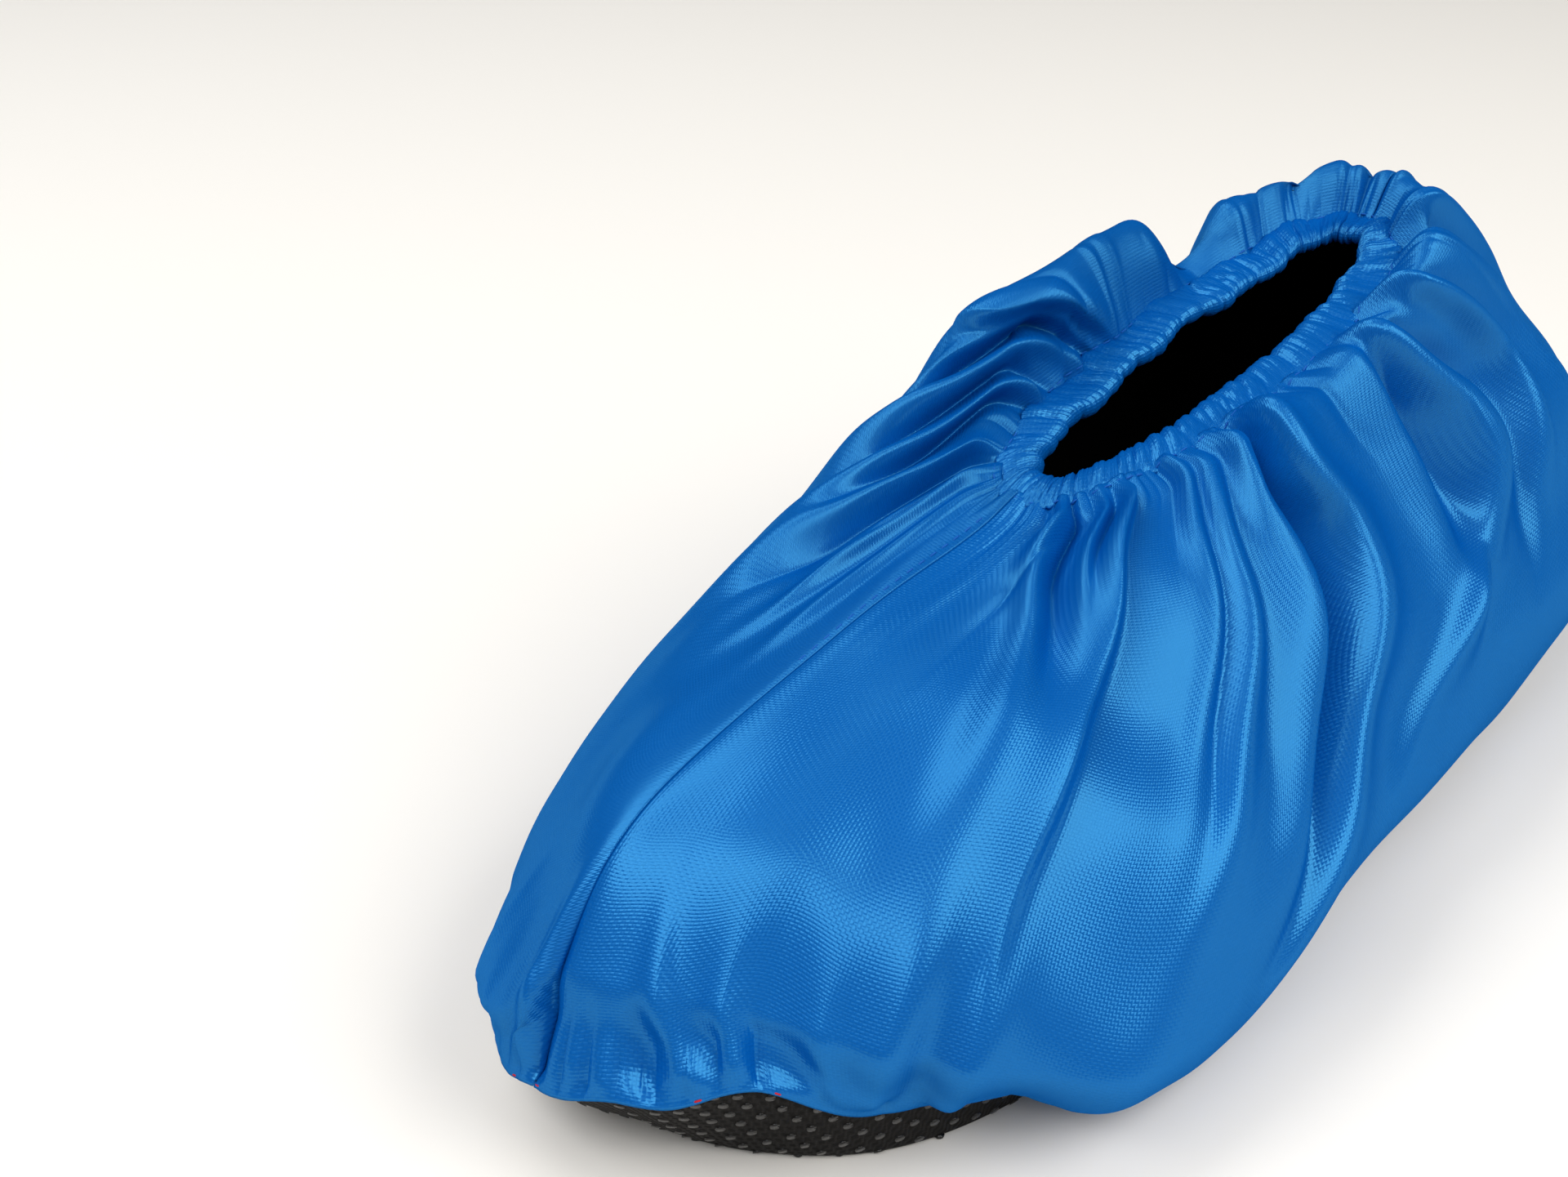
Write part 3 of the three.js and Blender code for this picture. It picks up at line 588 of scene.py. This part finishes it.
def weave_height(tree):
    """Height of a plain weave: in every second cell the warp lies on top, and in the others the
    weft. A thread's section is the size of a sine across it, a little lower at each cell's ends."""
    place = add_node(tree, "ShaderNodeUVMap", {"uv_map": "cloth"})
    axes = add_node(tree, "ShaderNodeSeparateXYZ", inputs={0: place.outputs[0]})
    angles = [calculated(tree, "MULTIPLY", axes.outputs[axis], math.pi / THREAD) for axis in (0, 1)]
    waves = [calculated(tree, "SINE", angle) for angle in angles]
    sizes = [calculated(tree, "ABSOLUTE", wave) for wave in waves]
    floats = []
    for across, length in ((0, 1), (1, 0)):
        end = calculated(tree, "MULTIPLY_ADD", sizes[length], 0.45, 0.55)
        floats.append(calculated(tree, "MULTIPLY", sizes[across], end))
    warp_on_top = calculated(tree, "GREATER_THAN", calculated(tree, "MULTIPLY", *waves), 0.0)
    inputs = {0: warp_on_top, 2: floats[1], 3: floats[0]}
    return add_node(tree, "ShaderNodeMix", {"data_type": "FLOAT"}, inputs).outputs[0]


def woven_polyester(name):
    """Satin coated oxford: blue, a shade lighter where handling has polished it."""
    material, tree, output = new_material(name)
    height = weave_height(tree)
    normal = bumped(tree, height, THREAD_RELIEF)
    smoother_normal = bumped(tree, height, THREAD_RELIEF, 0.35)
    shade = mixed_color(tree, noise(tree, 28.0, 3.0), CLOTH_COLOR, CLOTH_COLOR_WORN)
    inputs = {"Base Color": shade, "Roughness": 0.6, "Specular IOR Level": 0.0, "Normal": normal}
    surface = add_node(tree, "ShaderNodeBsdfPrincipled", inputs=inputs)
    lobes = (
        (GLOSS_BROAD, CLOTH_ROUGHNESS, normal),
        (GLOSS_SHARP, CLOTH_ROUGHNESS * 0.42, smoother_normal),
    )
    for share, roughness, lobe_normal in lobes:
        color = [share * c for c in linear(GLOSS_COLOR)[:3]] + [1.0]
        gloss = add_node(
            tree,
            "ShaderNodeBsdfAnisotropic",
            inputs={"Color": color, "Roughness": roughness, "Normal": lobe_normal},
        )
        surface = add_node(tree, "ShaderNodeAddShader", inputs={0: surface.outputs[0], 1: gloss.outputs[0]})
    tree.links.new(surface.outputs[0], output.inputs[0])
    return material


def painted_shade_back(tree):
    """The panels' inner face: the same cloth, painted near-black as painted shade for the dark inside of the
    cover.
    """
    normal = bumped(tree, noise(tree, 900.0), 0.0001)
    return {"Base Color": linear(INSIDE_SHADE_COLOR), "Roughness": 0.9, "Specular IOR Level": 0.1, "Normal": normal}


def cloth_uv(start, v):
    """Place in the flat cloth, in metres: across is the belly's length from the toe seam, drawn in
    towards the hem as the gathers take it up, and up is the mean length of the columns."""
    ring = np.linspace(0, 1, 721)
    belly = sheet_point(ring, np.full(721, BELLY_LEVEL))
    length = np.concatenate([[0], np.cumsum(np.linalg.norm(np.diff(belly, axis=0), axis=-1))])
    column = sheet_point(ring[::24, None], v)
    rise = np.linalg.norm(np.diff(column, axis=1), axis=-1).mean(axis=0)
    across = np.interp(drifted(start, v), ring, length) * (1 - GATHER_SHARE * v**2)
    up = np.concatenate([[0], np.cumsum(rise)])[None, :] + 0 * start
    return np.stack([across, up], axis=-1)


def panel(name, side, material, back):
    """Half a turn of cloth from the toe seam to the heel seam, as a thin closed wall. The inner face
    is coarser, and a many-sided face joins each of its edge steps to the outer face's."""
    start = 0.0 if side > 0 else 0.5
    u = start + 0.5 * np.linspace(0, 1, PANEL_COLUMNS + 1)[:, None]
    v = np.linspace(0, 1, PANEL_ROWS + 1)[None, :]
    lift = cloth_lift(u, v)
    outer = cloth_point(u, v, lift)
    near_seam = 1 - smooth_step(v / 0.12)
    lining_lift = lowest_around(lift, LINING_STEP) - CLOTH * (1 - 0.6 * near_seam)
    lining_lift = lining_lift[::LINING_STEP, ::LINING_STEP]
    inner = cloth_point(u[::LINING_STEP], v[:, ::LINING_STEP], lining_lift)
    for points in (outer, inner):
        points[..., 0] += side * PANEL_GAP / 2
    columns, rows = outer.shape[:2]
    lining_columns, lining_rows = inner.shape[:2]
    first = columns * rows
    outer_faces = grid_faces(columns, rows)
    inner_faces = grid_faces(lining_columns, lining_rows, first)[:, ::-1]
    number = np.arange(first).reshape(columns, rows)
    inner_number = first + np.arange(lining_columns * lining_rows).reshape(lining_columns, lining_rows)
    rims = (
        (number[:, 0][::-1], inner_number[:, 0][::-1]),
        (number[:, -1], inner_number[:, -1]),
        (number[0], inner_number[0]),
        (number[-1][::-1], inner_number[-1][::-1]),
    )
    strips = []
    for fine, coarse in rims:
        for k in range(len(coarse) - 1):
            along = fine[k * LINING_STEP : (k + 1) * LINING_STEP + 1]
            strips.append([*along[::-1], coarse[k], coarse[k + 1]][::-1])
    faces = [*outer_faces, *inner_faces, *strips]
    made = new_object(name, joined(outer, inner), faces, material)
    # The inner face takes the near-black material, painted shade for the inside of the cover.
    made.data.materials.append(back)
    inside = np.zeros(len(faces), np.int32)
    inside[len(outer_faces) : len(outer_faces) + len(inner_faces)] = 1
    made.data.polygons.foreach_set("material_index", inside)
    flat = cloth_uv(u, v)
    flat = joined(flat, flat[::LINING_STEP, ::LINING_STEP])
    corners = np.zeros(len(made.data.loops), np.int32)
    made.data.loops.foreach_get("vertex_index", corners)
    made.data.uv_layers.new(name="cloth").uv.foreach_set("vector", flat[corners].astype(np.float32).ravel())
    return made


satin_oxford = woven_polyester("satin_oxford_polyester")
# Material of the panels' inner face: near-black, painted shade for the inside of the cover.
inside_shade_material = plain_material("painted_inside_shade", painted_shade_back)
for name, node, side in (("upper_right", "panel_right", 1), ("upper_left", "panel_left", -1)):
    half = panel(name, side, satin_oxford, inside_shade_material)
    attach(half, "root")
    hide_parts(node)

# Elastic hem
# The top edge of the cloth is turned over an elastic cord and stitched down as a casing. The elastic
# draws it up to half its length, so it lies in tight uneven puckers, pinched at the stitch line.

HEM_THICKNESS = 0.0044
HEM_SPREAD = 0.0104  # full width of the casing, which laps over the top edge of the panels
HEM_COLUMNS = 1600
HEM_SIDES = 24
HEM_WANDER = 0.0005  # the casing strays from its line by this much
HEM_OUTWARD = 0.0021  # its middle lies this far past the line where it would end flush with the panels
HEM_DROP = 0.0004
HEM_TILT = (-0.3, 0.4)  # least and most slope of its section towards the panels
HEM_CLOTH_LENGTH = 0.44  # of the cloth in the casing, let out
HEM_CLOTH_WIDTH = 0.018


def hem_point(u, angle):
    """A flattened ring section, thinner towards the panels and tilted as they rise to their crest.
    Valleys of three sizes slant round it, and each pucker is fuller or slacker than the next."""
    slant = 0.0024 * np.sin(angle + 5 * np.sin(6 * np.pi * u)) + 0.0016 * np.sin(2 * angle + 18 * np.pi * u)
    full = 0.8 + 0.35 * np.sin(2 * np.pi * 17.3 * u + 1.0) * np.sin(2 * np.pi * 6.1 * u)
    size = 1.06 - 0.42 * full * (1 - pucker(u + slant, PUCKERS))
    size = size - 0.26 * (1 - pucker(u - 1.3 * slant + 0.37, 2 * PUCKERS - 17)) * (1.5 - full)
    size = size - 0.12 * (1 - pucker(u + 0.8 * slant + 0.11, 3 * PUCKERS + 7))
    size = size + 0.07 * np.sin(2 * np.pi * (13 * u + 0.3)) + 0.05 * np.sin(2 * np.pi * (29 * u) + 2 * angle)
    out = mouth_outward(u)
    middle = mouth_edge(u) + out * (HEM_WIDTH - HEM_SPREAD / 2 + HEM_OUTWARD)
    wander = HEM_WANDER * (np.sin(2 * np.pi * (7 * u + 0.1)) + np.sin(2 * np.pi * (16 * u + 0.6)))
    across = HEM_SPREAD / 2 * (0.65 + 0.35 * size) * np.cos(angle) + wander
    taper = 1 - 0.45 * np.cos(angle)
    up = HEM_THICKNESS / 2 * size * taper * np.sin(angle) + wander * 0.6
    points = middle + out * across[..., None]
    tilt = np.clip(section(u, "crest"), *HEM_TILT)
    points[..., 2] += up + tilt * np.maximum(across, 0) - HEM_DROP
    return points


def ring_faces(columns, sides):
    """Quads of a grid that closes on itself both ways."""
    i, j = np.meshgrid(np.arange(columns), np.arange(sides), indexing="ij")
    after, beside = (i + 1) % columns, (j + 1) % sides
    corners = [i * sides + j, after * sides + j, after * sides + beside, i * sides + beside]
    return np.stack(corners, axis=-1).reshape(-1, 4)


def elastic_hem(material):
    """The casing, with the cloth's place round and across it as its UV map."""
    u = (np.arange(HEM_COLUMNS) / HEM_COLUMNS)[:, None]
    angle = (2 * np.pi * np.arange(HEM_SIDES) / HEM_SIDES)[None, :]
    faces = ring_faces(HEM_COLUMNS, HEM_SIDES)
    made = new_object("gathered_hem", hem_point(u, angle), faces, material)
    column, row = faces // HEM_SIDES, faces % HEM_SIDES
    column = np.where(column < column[:, :1] - 1, HEM_COLUMNS, column)
    row = np.where(row < row[:, :1] - 1, HEM_SIDES, row)
    flat = [column * HEM_CLOTH_LENGTH / HEM_COLUMNS, row * HEM_CLOTH_WIDTH / HEM_SIDES]
    flat = np.stack(flat, axis=-1)
    made.data.uv_layers.new(name="cloth").uv.foreach_set("vector", flat.astype(np.float32).ravel())
    return made


gathered_oxford = woven_polyester("gathered_oxford_polyester")
hem = elastic_hem(gathered_oxford)
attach(hem, "root")
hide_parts("elastic_hem")

# Knitted sole
# The sole is a thick black rib knit, dotted with rubber on its outer face for grip. Its edge turns up
# into the seam with the upper.

DOT_HEIGHT = 0.0007
KNIT = 0.0016
TRAY_STEPS = 9  # rows up the turned-up edge
SOLE_COLUMNS = 768
SOLE_RINGS = 60  # rows across the flat, from its edge to its middle line


def tray_edge(u, climb, wall):
    """The turned-up edge, where climb goes from 0 at the flat to 1 at the seam: it leaves the flat in
    a soft bend and runs up to the seam nearly straight."""
    inset = TRAY_INSET * section(u, "inset") * (1 - climb)
    top = seam_height(u) - SEAM_LAP / 2
    points = sole_seam(u) - sole_outward(u) * (inset + wall)[..., None]
    rise = DOT_HEIGHT + wall * (1 - climb) + (top - DOT_HEIGHT) * climb**1.3
    return at_height(points, rise)


def sole_surface(wall):
    """Columns round the sole; rows from the middle line of the flat to its edge and up to the seam."""
    u = (np.arange(SOLE_COLUMNS) / SOLE_COLUMNS)[:, None]
    climb = np.linspace(0, 1, TRAY_STEPS + 1)[None, :]
    edge = tray_edge(u, climb, wall + 0 * u)
    foot = edge[:, :1]
    share = np.linspace(0, 1, SOLE_RINGS + 1)[None, :-1, None]
    middle = points_of(0 * foot[..., 0], foot[..., 1], DOT_HEIGHT + wall)
    return np.concatenate([middle + (foot - middle) * share, edge], axis=1)


def knit_sole(material):
    """Outer and inner faces joined at the top edge. Each face closes along the middle line, where a
    column meets the one at the same place on the other side."""
    outer, inner = sole_surface(0.0), sole_surface(KNIT)
    columns, rows = outer.shape[:2]
    half = columns // 2
    column = np.arange(columns)
    after = (column + 1) % columns
    mirror = (columns - column) % columns
    number = np.arange(columns * rows).reshape(columns, rows)
    number[half + 1 :, 0] = number[mirror[half + 1 :], 0]
    below = [number[:, :-1], number[:, 1:], number[after, 1:], number[after, :-1]]
    below = np.stack(below, axis=-1).reshape(-1, 4)
    above = np.roll(below[:, ::-1], 1, axis=1) + columns * rows
    edge = number[:, -1]
    inner_edge = edge + columns * rows
    rim = np.stack([edge, inner_edge, inner_edge[after], edge[after]], axis=-1)
    return new_object("knit_sole", joined(outer, inner), [*below, *above, *rim], material)


# Black polyester rib knit: dull, with upright wales 1.3 mm apart whose loops slant left and right.
WALE = 0.0013
COURSE = 0.0010  # from one row of loops to the next
LOOP_SLANT = 1.4
KNIT_RELIEF = 0.00016
# The knit's black is painted a shade lighter on the loops' tops and darker in the troughs between them:
# painted shade.
KNIT_SHADED_TROUGH_COLOR = "#080707"
KNIT_LIT_LOOP_COLOR = "#0f0d0c"


def rib_knit(tree):
    """Black rib knit: loops of each wale slant to its middle like a row of arrowheads, with painted shade in
    the troughs between loops.
    """
    place = add_node(tree, "ShaderNodeTexCoord")
    axes = add_node(tree, "ShaderNodeSeparateXYZ", inputs={0: place.outputs["Object"]})
    wale = calculated(tree, "COSINE", calculated(tree, "MULTIPLY", axes.outputs[0], 2 * math.pi / WALE))
    slant = calculated(tree, "MULTIPLY", wale, LOOP_SLANT)
    along = calculated(tree, "MULTIPLY", axes.outputs[1], 2 * math.pi / COURSE)
    loops = calculated(tree, "SINE", calculated(tree, "ADD", along, slant))
    height = calculated(tree, "MULTIPLY_ADD", loops, 0.5, wale)
    normal = bumped(tree, calculated(tree, "ADD", height, noise(tree, 1400.0)), KNIT_RELIEF)
    # Painted shade: the colour follows the loops' height, darkest in the troughs.
    share = add_node(tree, "ShaderNodeMapRange", inputs={0: loops, 1: -1.0, 2: 1.0}).outputs[0]
    color = mixed_color(tree, share, KNIT_SHADED_TROUGH_COLOR, KNIT_LIT_LOOP_COLOR)
    return {"Base Color": color, "Roughness": 0.75, "Specular IOR Level": 0.15, "Normal": normal}


sole = knit_sole(plain_material("black_rib_knit", rib_knit))
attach(sole, "root")
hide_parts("sole")

# Grip dots
# Drops of soft rubber are printed on the knit in a square pattern while it is still flat, so they
# follow it up the turned-up edge.

DOT_PITCH = 0.0050
DOT_RADIUS = 0.00095
DOT_SIDES = 10
DOT_MARGIN = 0.0015  # no dot lies closer to the seam
DOT_COLOR = "#0c0c0d"


def dot_places():
    """Centres and outward directions of the dots. A dot past the edge of the flat lies as far up the
    turned-up edge as it lies outside the flat."""
    u = np.linspace(0, 1, 1440, endpoint=False)
    steps = np.linspace(0, 1, 21)[None, :]
    tray = tray_edge(u[:, None], steps, 0 * u[:, None])
    foot = tray[:, 0, :2]
    climb_steps = np.linalg.norm(np.diff(tray, axis=1), axis=-1)
    climb_length = np.concatenate([np.zeros((len(u), 1)), np.cumsum(climb_steps, axis=1)], axis=1)
    reach = SOLE_LENGTH / 2 + TRAY_HEIGHT
    x, y = np.meshgrid(np.arange(-16, 17) * DOT_PITCH, np.arange(-reach, reach, DOT_PITCH), indexing="ij")
    grid = np.stack([x.ravel(), y.ravel()], axis=-1)
    offset = grid[:, None, :] - foot[None, :, :]
    nearest = np.argmin((offset**2).sum(axis=-1), axis=1)
    beyond = offset[np.arange(len(grid)), nearest]
    outward = sole_outward(u)[nearest]
    outside = (beyond * outward[:, :2]).sum(axis=-1)
    on_flat = outside <= 0
    centres = np.concatenate([grid, np.full((len(grid), 1), DOT_HEIGHT)], axis=1)
    normals = np.tile([0.0, 0.0, -1.0], (len(grid), 1))
    on_edge = ~on_flat & (outside < climb_length[nearest, -1] - DOT_MARGIN)
    for k in np.flatnonzero(on_edge):
        row = nearest[k]
        share = np.interp(outside[k], climb_length[row], steps[0])
        spot = np.array([u[row]])[:, None]
        here = tray_edge(spot, np.array([[share]]), 0 * spot)[0, 0]
        ahead = tray_edge(spot, np.array([[share + 0.02]]), 0 * spot)[0, 0]
        climb = unit(ahead - here)
        side = np.cross([0.0, 0.0, 1.0], outward[k])
        centres[k] = here
        normals[k] = unit(np.cross(climb, side))
    keep = on_flat | on_edge
    return centres[keep], normals[keep]


def joined_copies(points, centres, axes):
    """One template of points in three local axes, copied to every centre."""
    first, second, third = (points[None, :, k : k + 1] * axes[k][:, None, :] for k in range(3))
    return centres[:, None, :] + first + second + third


def tube_faces(rings, sides):
    """A flat lower end, and the quads between rings of points numbered one after the other."""
    faces = [list(range(sides))[::-1]]
    for ring in range(rings - 1):
        for k in range(sides):
            a, b = ring * sides + k, ring * sides + (k + 1) % sides
            faces.append([a, b, b + sides, a + sides])
    return faces


def copied_faces(faces, count, size):
    """The template's faces repeated, each copy's numbers moved on by the template's size."""
    return [[index + size * k for index in face] for k in range(count) for face in faces]


def grip_dots(material):
    """Low domes: three rings of a ball's cap and a flat bottom just inside the knit, joined."""
    centres, normals = dot_places()
    side = unit(np.cross(normals, np.tile([0.0, 1.0, 0.01], (len(normals), 1))))
    other = np.cross(normals, side)
    rings = [(1.0, -0.00015), (0.94, 0.00030), (0.62, 0.00058)]
    angles = 2 * np.pi * np.arange(DOT_SIDES) / DOT_SIDES
    points = []
    for size, up in rings:
        points += [[DOT_RADIUS * size * np.cos(a), DOT_RADIUS * size * np.sin(a), up] for a in angles]
    points = np.array(points + [[0.0, 0.0, DOT_HEIGHT]])
    faces = tube_faces(len(rings), DOT_SIDES)
    top = (len(rings) - 1) * DOT_SIDES
    faces += [[top + k, top + (k + 1) % DOT_SIDES, len(points) - 1] for k in range(DOT_SIDES)]
    places = joined_copies(points, centres, (side, other, normals))
    return new_object("grip_dots", places, copied_faces(faces, len(centres), len(points)), material)


def printed_rubber(tree):
    """Soft black rubber, cast smooth: small sharp glints."""
    rough = add_node(tree, "ShaderNodeMapRange", inputs={0: noise(tree, 350.0), 3: 0.16, 4: 0.38})
    return {"Base Color": linear(DOT_COLOR), "Roughness": rough.outputs[0], "IOR": 1.52}


dots = grip_dots(plain_material("black_printed_rubber", printed_rubber))
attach(dots, "root")

# Stitching
# Blue thread holds the casing down and runs beside the toe seam. Red thread joins the upper to the
# sole. Most of it lies in the seam, and a few bits show, placed by lot.

STITCH_RADIUS = 0.00018
RED_STITCH = 0.0016  # length of a stitch
RED_DEPTH = (-0.0018, 0.0001)  # below or over the cloth
BLUE_STITCH = 0.0021
RED_THREAD = "#c2202c"
BLUE_THREAD = "#0d5cb4"


def thread_material(name, color):
    """Spun polyester thread: dull, with a twist that shows as slanting lines."""
    material, tree, output = new_material(name)
    place = add_node(tree, "ShaderNodeTexCoord")
    twist = add_node(
        tree,
        "ShaderNodeTexWave",
        {"bands_direction": "DIAGONAL"},
        {"Vector": place.outputs["Object"], "Scale": 1500.0, "Distortion": 1.0},
    )
    normal = bumped(tree, twist.outputs[1], 0.00004)
    surface = add_node(
        tree,
        "ShaderNodeBsdfPrincipled",
        inputs={"Base Color": linear(color), "Roughness": 0.65, "Specular IOR Level": 0.2, "Normal": normal},
    )
    tree.links.new(surface.outputs[0], output.inputs[0])
    return material


def stitches(name, starts, ends, outward, material):
    """Each stitch is a short thread from start to end: four rings of six points along an arch."""
    along = ends - starts
    length = np.linalg.norm(along, axis=-1)
    axes = unit(along)
    side = unit(np.cross(outward, axes))
    up = np.cross(axes, side)
    rings = [(0.0, 0.35, -0.9), (0.22, 1.0, 0.2), (0.78, 1.0, 0.2), (1.0, 0.35, -0.9)]
    sides = 6
    angles = 2 * np.pi * np.arange(sides) / sides
    points = []
    for share, size, arch in rings:
        for a in angles:
            across, rise = size * np.cos(a), size * np.sin(a) + arch
            points.append([share, STITCH_RADIUS * across, STITCH_RADIUS * rise])
    points = np.array(points)
    faces = tube_faces(len(rings), sides) + [list(range(3 * sides, 4 * sides))]
    places = joined_copies(points, starts, (axes * length[:, None], side, up))
    made = new_object(name, places, copied_faces(faces, len(starts), len(points)), material)
    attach(made, "root")
    return made


def stitch_line(u_path, v_path, pitch, length):
    """Starts, ends and outward directions of stitches along a line on the cloth."""
    start, level = u_path[:, None], v_path[:, None]
    line = cloth_point(start, level, cloth_lift(start, level))[:, 0]
    run = np.concatenate([[0], np.cumsum(np.linalg.norm(np.diff(line, axis=0), axis=-1))])
    starts = np.arange(0, run[-1] - length, pitch)
    ends = [
        np.stack([np.interp(place, run, line[:, k]) for k in range(3)], axis=-1)
        for place in (starts, starts + length)
    ]
    middle = starts + length / 2
    u_mid, v_mid = np.interp(middle, run, u_path), np.interp(middle, run, v_path)
    return ends[0], ends[1], sheet_normal(u_mid[:, None], v_mid[:, None])[:, 0]


blue_thread = thread_material("blue_polyester_thread", BLUE_THREAD)
red_thread = thread_material("red_polyester_thread", RED_THREAD)

hem_path = np.linspace(0, 1, 2400)
start, end, outward = stitch_line(hem_path, np.full(2400, 0.985), 0.0030, BLUE_STITCH)
stitches("hem_stitches", start, end, outward, blue_thread)

toe_path = np.linspace(0.62, 0.94, 900)
start, end, outward = stitch_line(np.full(900, 0.9945), toe_path, 0.0032, BLUE_STITCH)
stitches("toe_seam_stitches", start, end, outward, blue_thread)

sole_path = np.linspace(0, 1, 3600)
start, end, outward = stitch_line(sole_path, np.full(3600, 0.004), 0.0034, RED_STITCH)
depth = np.random.default_rng(5).uniform(*RED_DEPTH, len(start))[:, None]
stitches("sole_seam_stitches", start + outward * depth, end + outward * depth, outward, red_thread)

# Studio
# A pale floor, a wide softbox above the toe, and one to each side, the weaker on the inner side.

FLOOR_SIZE = 6.0
FLOOR_COLOR = "#f6f3ee"
MIDDLE = Vector((0.0, -0.03, 0.05))
WORLD_LIGHT = 0.14


def aimed(made, place, target):
    """Moves an object to a place and turns it to look at the target."""
    made.location = place
    made.rotation_euler = (Vector(target) - Vector(place)).to_track_quat("-Z", "Y").to_euler()
    bpy.context.scene.collection.objects.link(made)
    return made


def softbox(name, azimuth, elevation, distance, width, height, radiance, color):
    """A rectangular lamp at a direction round the object. Azimuth 0 is the toe's side, 90 is +X. Its
    power is the wanted radiance times pi times its area."""
    light = bpy.data.lights.new(name, "AREA")
    light.shape = "RECTANGLE"
    light.size, light.size_y = width, height
    light.energy = radiance * math.pi * width * height
    light.color = linear(color)[:3]
    a, e = math.radians(azimuth), math.radians(elevation)
    way = Vector((math.sin(a) * math.cos(e), -math.cos(a) * math.cos(e), math.sin(e)))
    return aimed(bpy.data.objects.new(name, light), MIDDLE + way * distance, MIDDLE)


softbox("front_softbox", 0, 52, 1.5, 2.2, 0.55, 4.0, "#ffffff")
softbox("right_softbox", 108, 45, 1.5, 1.3, 1.0, 4.1, "#fffdf8")
softbox("left_softbox", -84, 58, 1.5, 1.1, 0.80, 3.2, "#ffffff")

world = bpy.data.worlds.new("studio")
world.use_nodes = True
world.node_tree.nodes["Background"].inputs[0].default_value = (1.0, 1.0, 1.0, 1.0)
world.node_tree.nodes["Background"].inputs[1].default_value = WORLD_LIGHT
bpy.context.scene.world = world


def white_paper(tree):
    """Matt white paper, of one colour."""
    return {"Base Color": linear(FLOOR_COLOR), "Roughness": 0.8}


reach = FLOOR_SIZE / 2
corners = [(-reach, -reach, 0), (reach, -reach, 0), (reach, reach, 0), (-reach, reach, 0)]
paper = plain_material("matt_white_paper", white_paper)
floor = new_object("paper_floor", corners, [[0, 1, 2, 3]], paper, smooth=False)

CAMERA_PLACE = (0.1935, -0.2988, 0.2586)
CAMERA_TARGET = (-0.0455, -0.0470, 0.0500)
camera = bpy.data.cameras.new("camera")
camera.lens, camera.sensor_width = 45.0, 36.0
camera.clip_start, camera.clip_end = 0.01, 50.0
bpy.context.scene.camera = aimed(bpy.data.objects.new("camera", camera), CAMERA_PLACE, CAMERA_TARGET)
bpy.context.scene.view_settings.view_transform = "Standard"
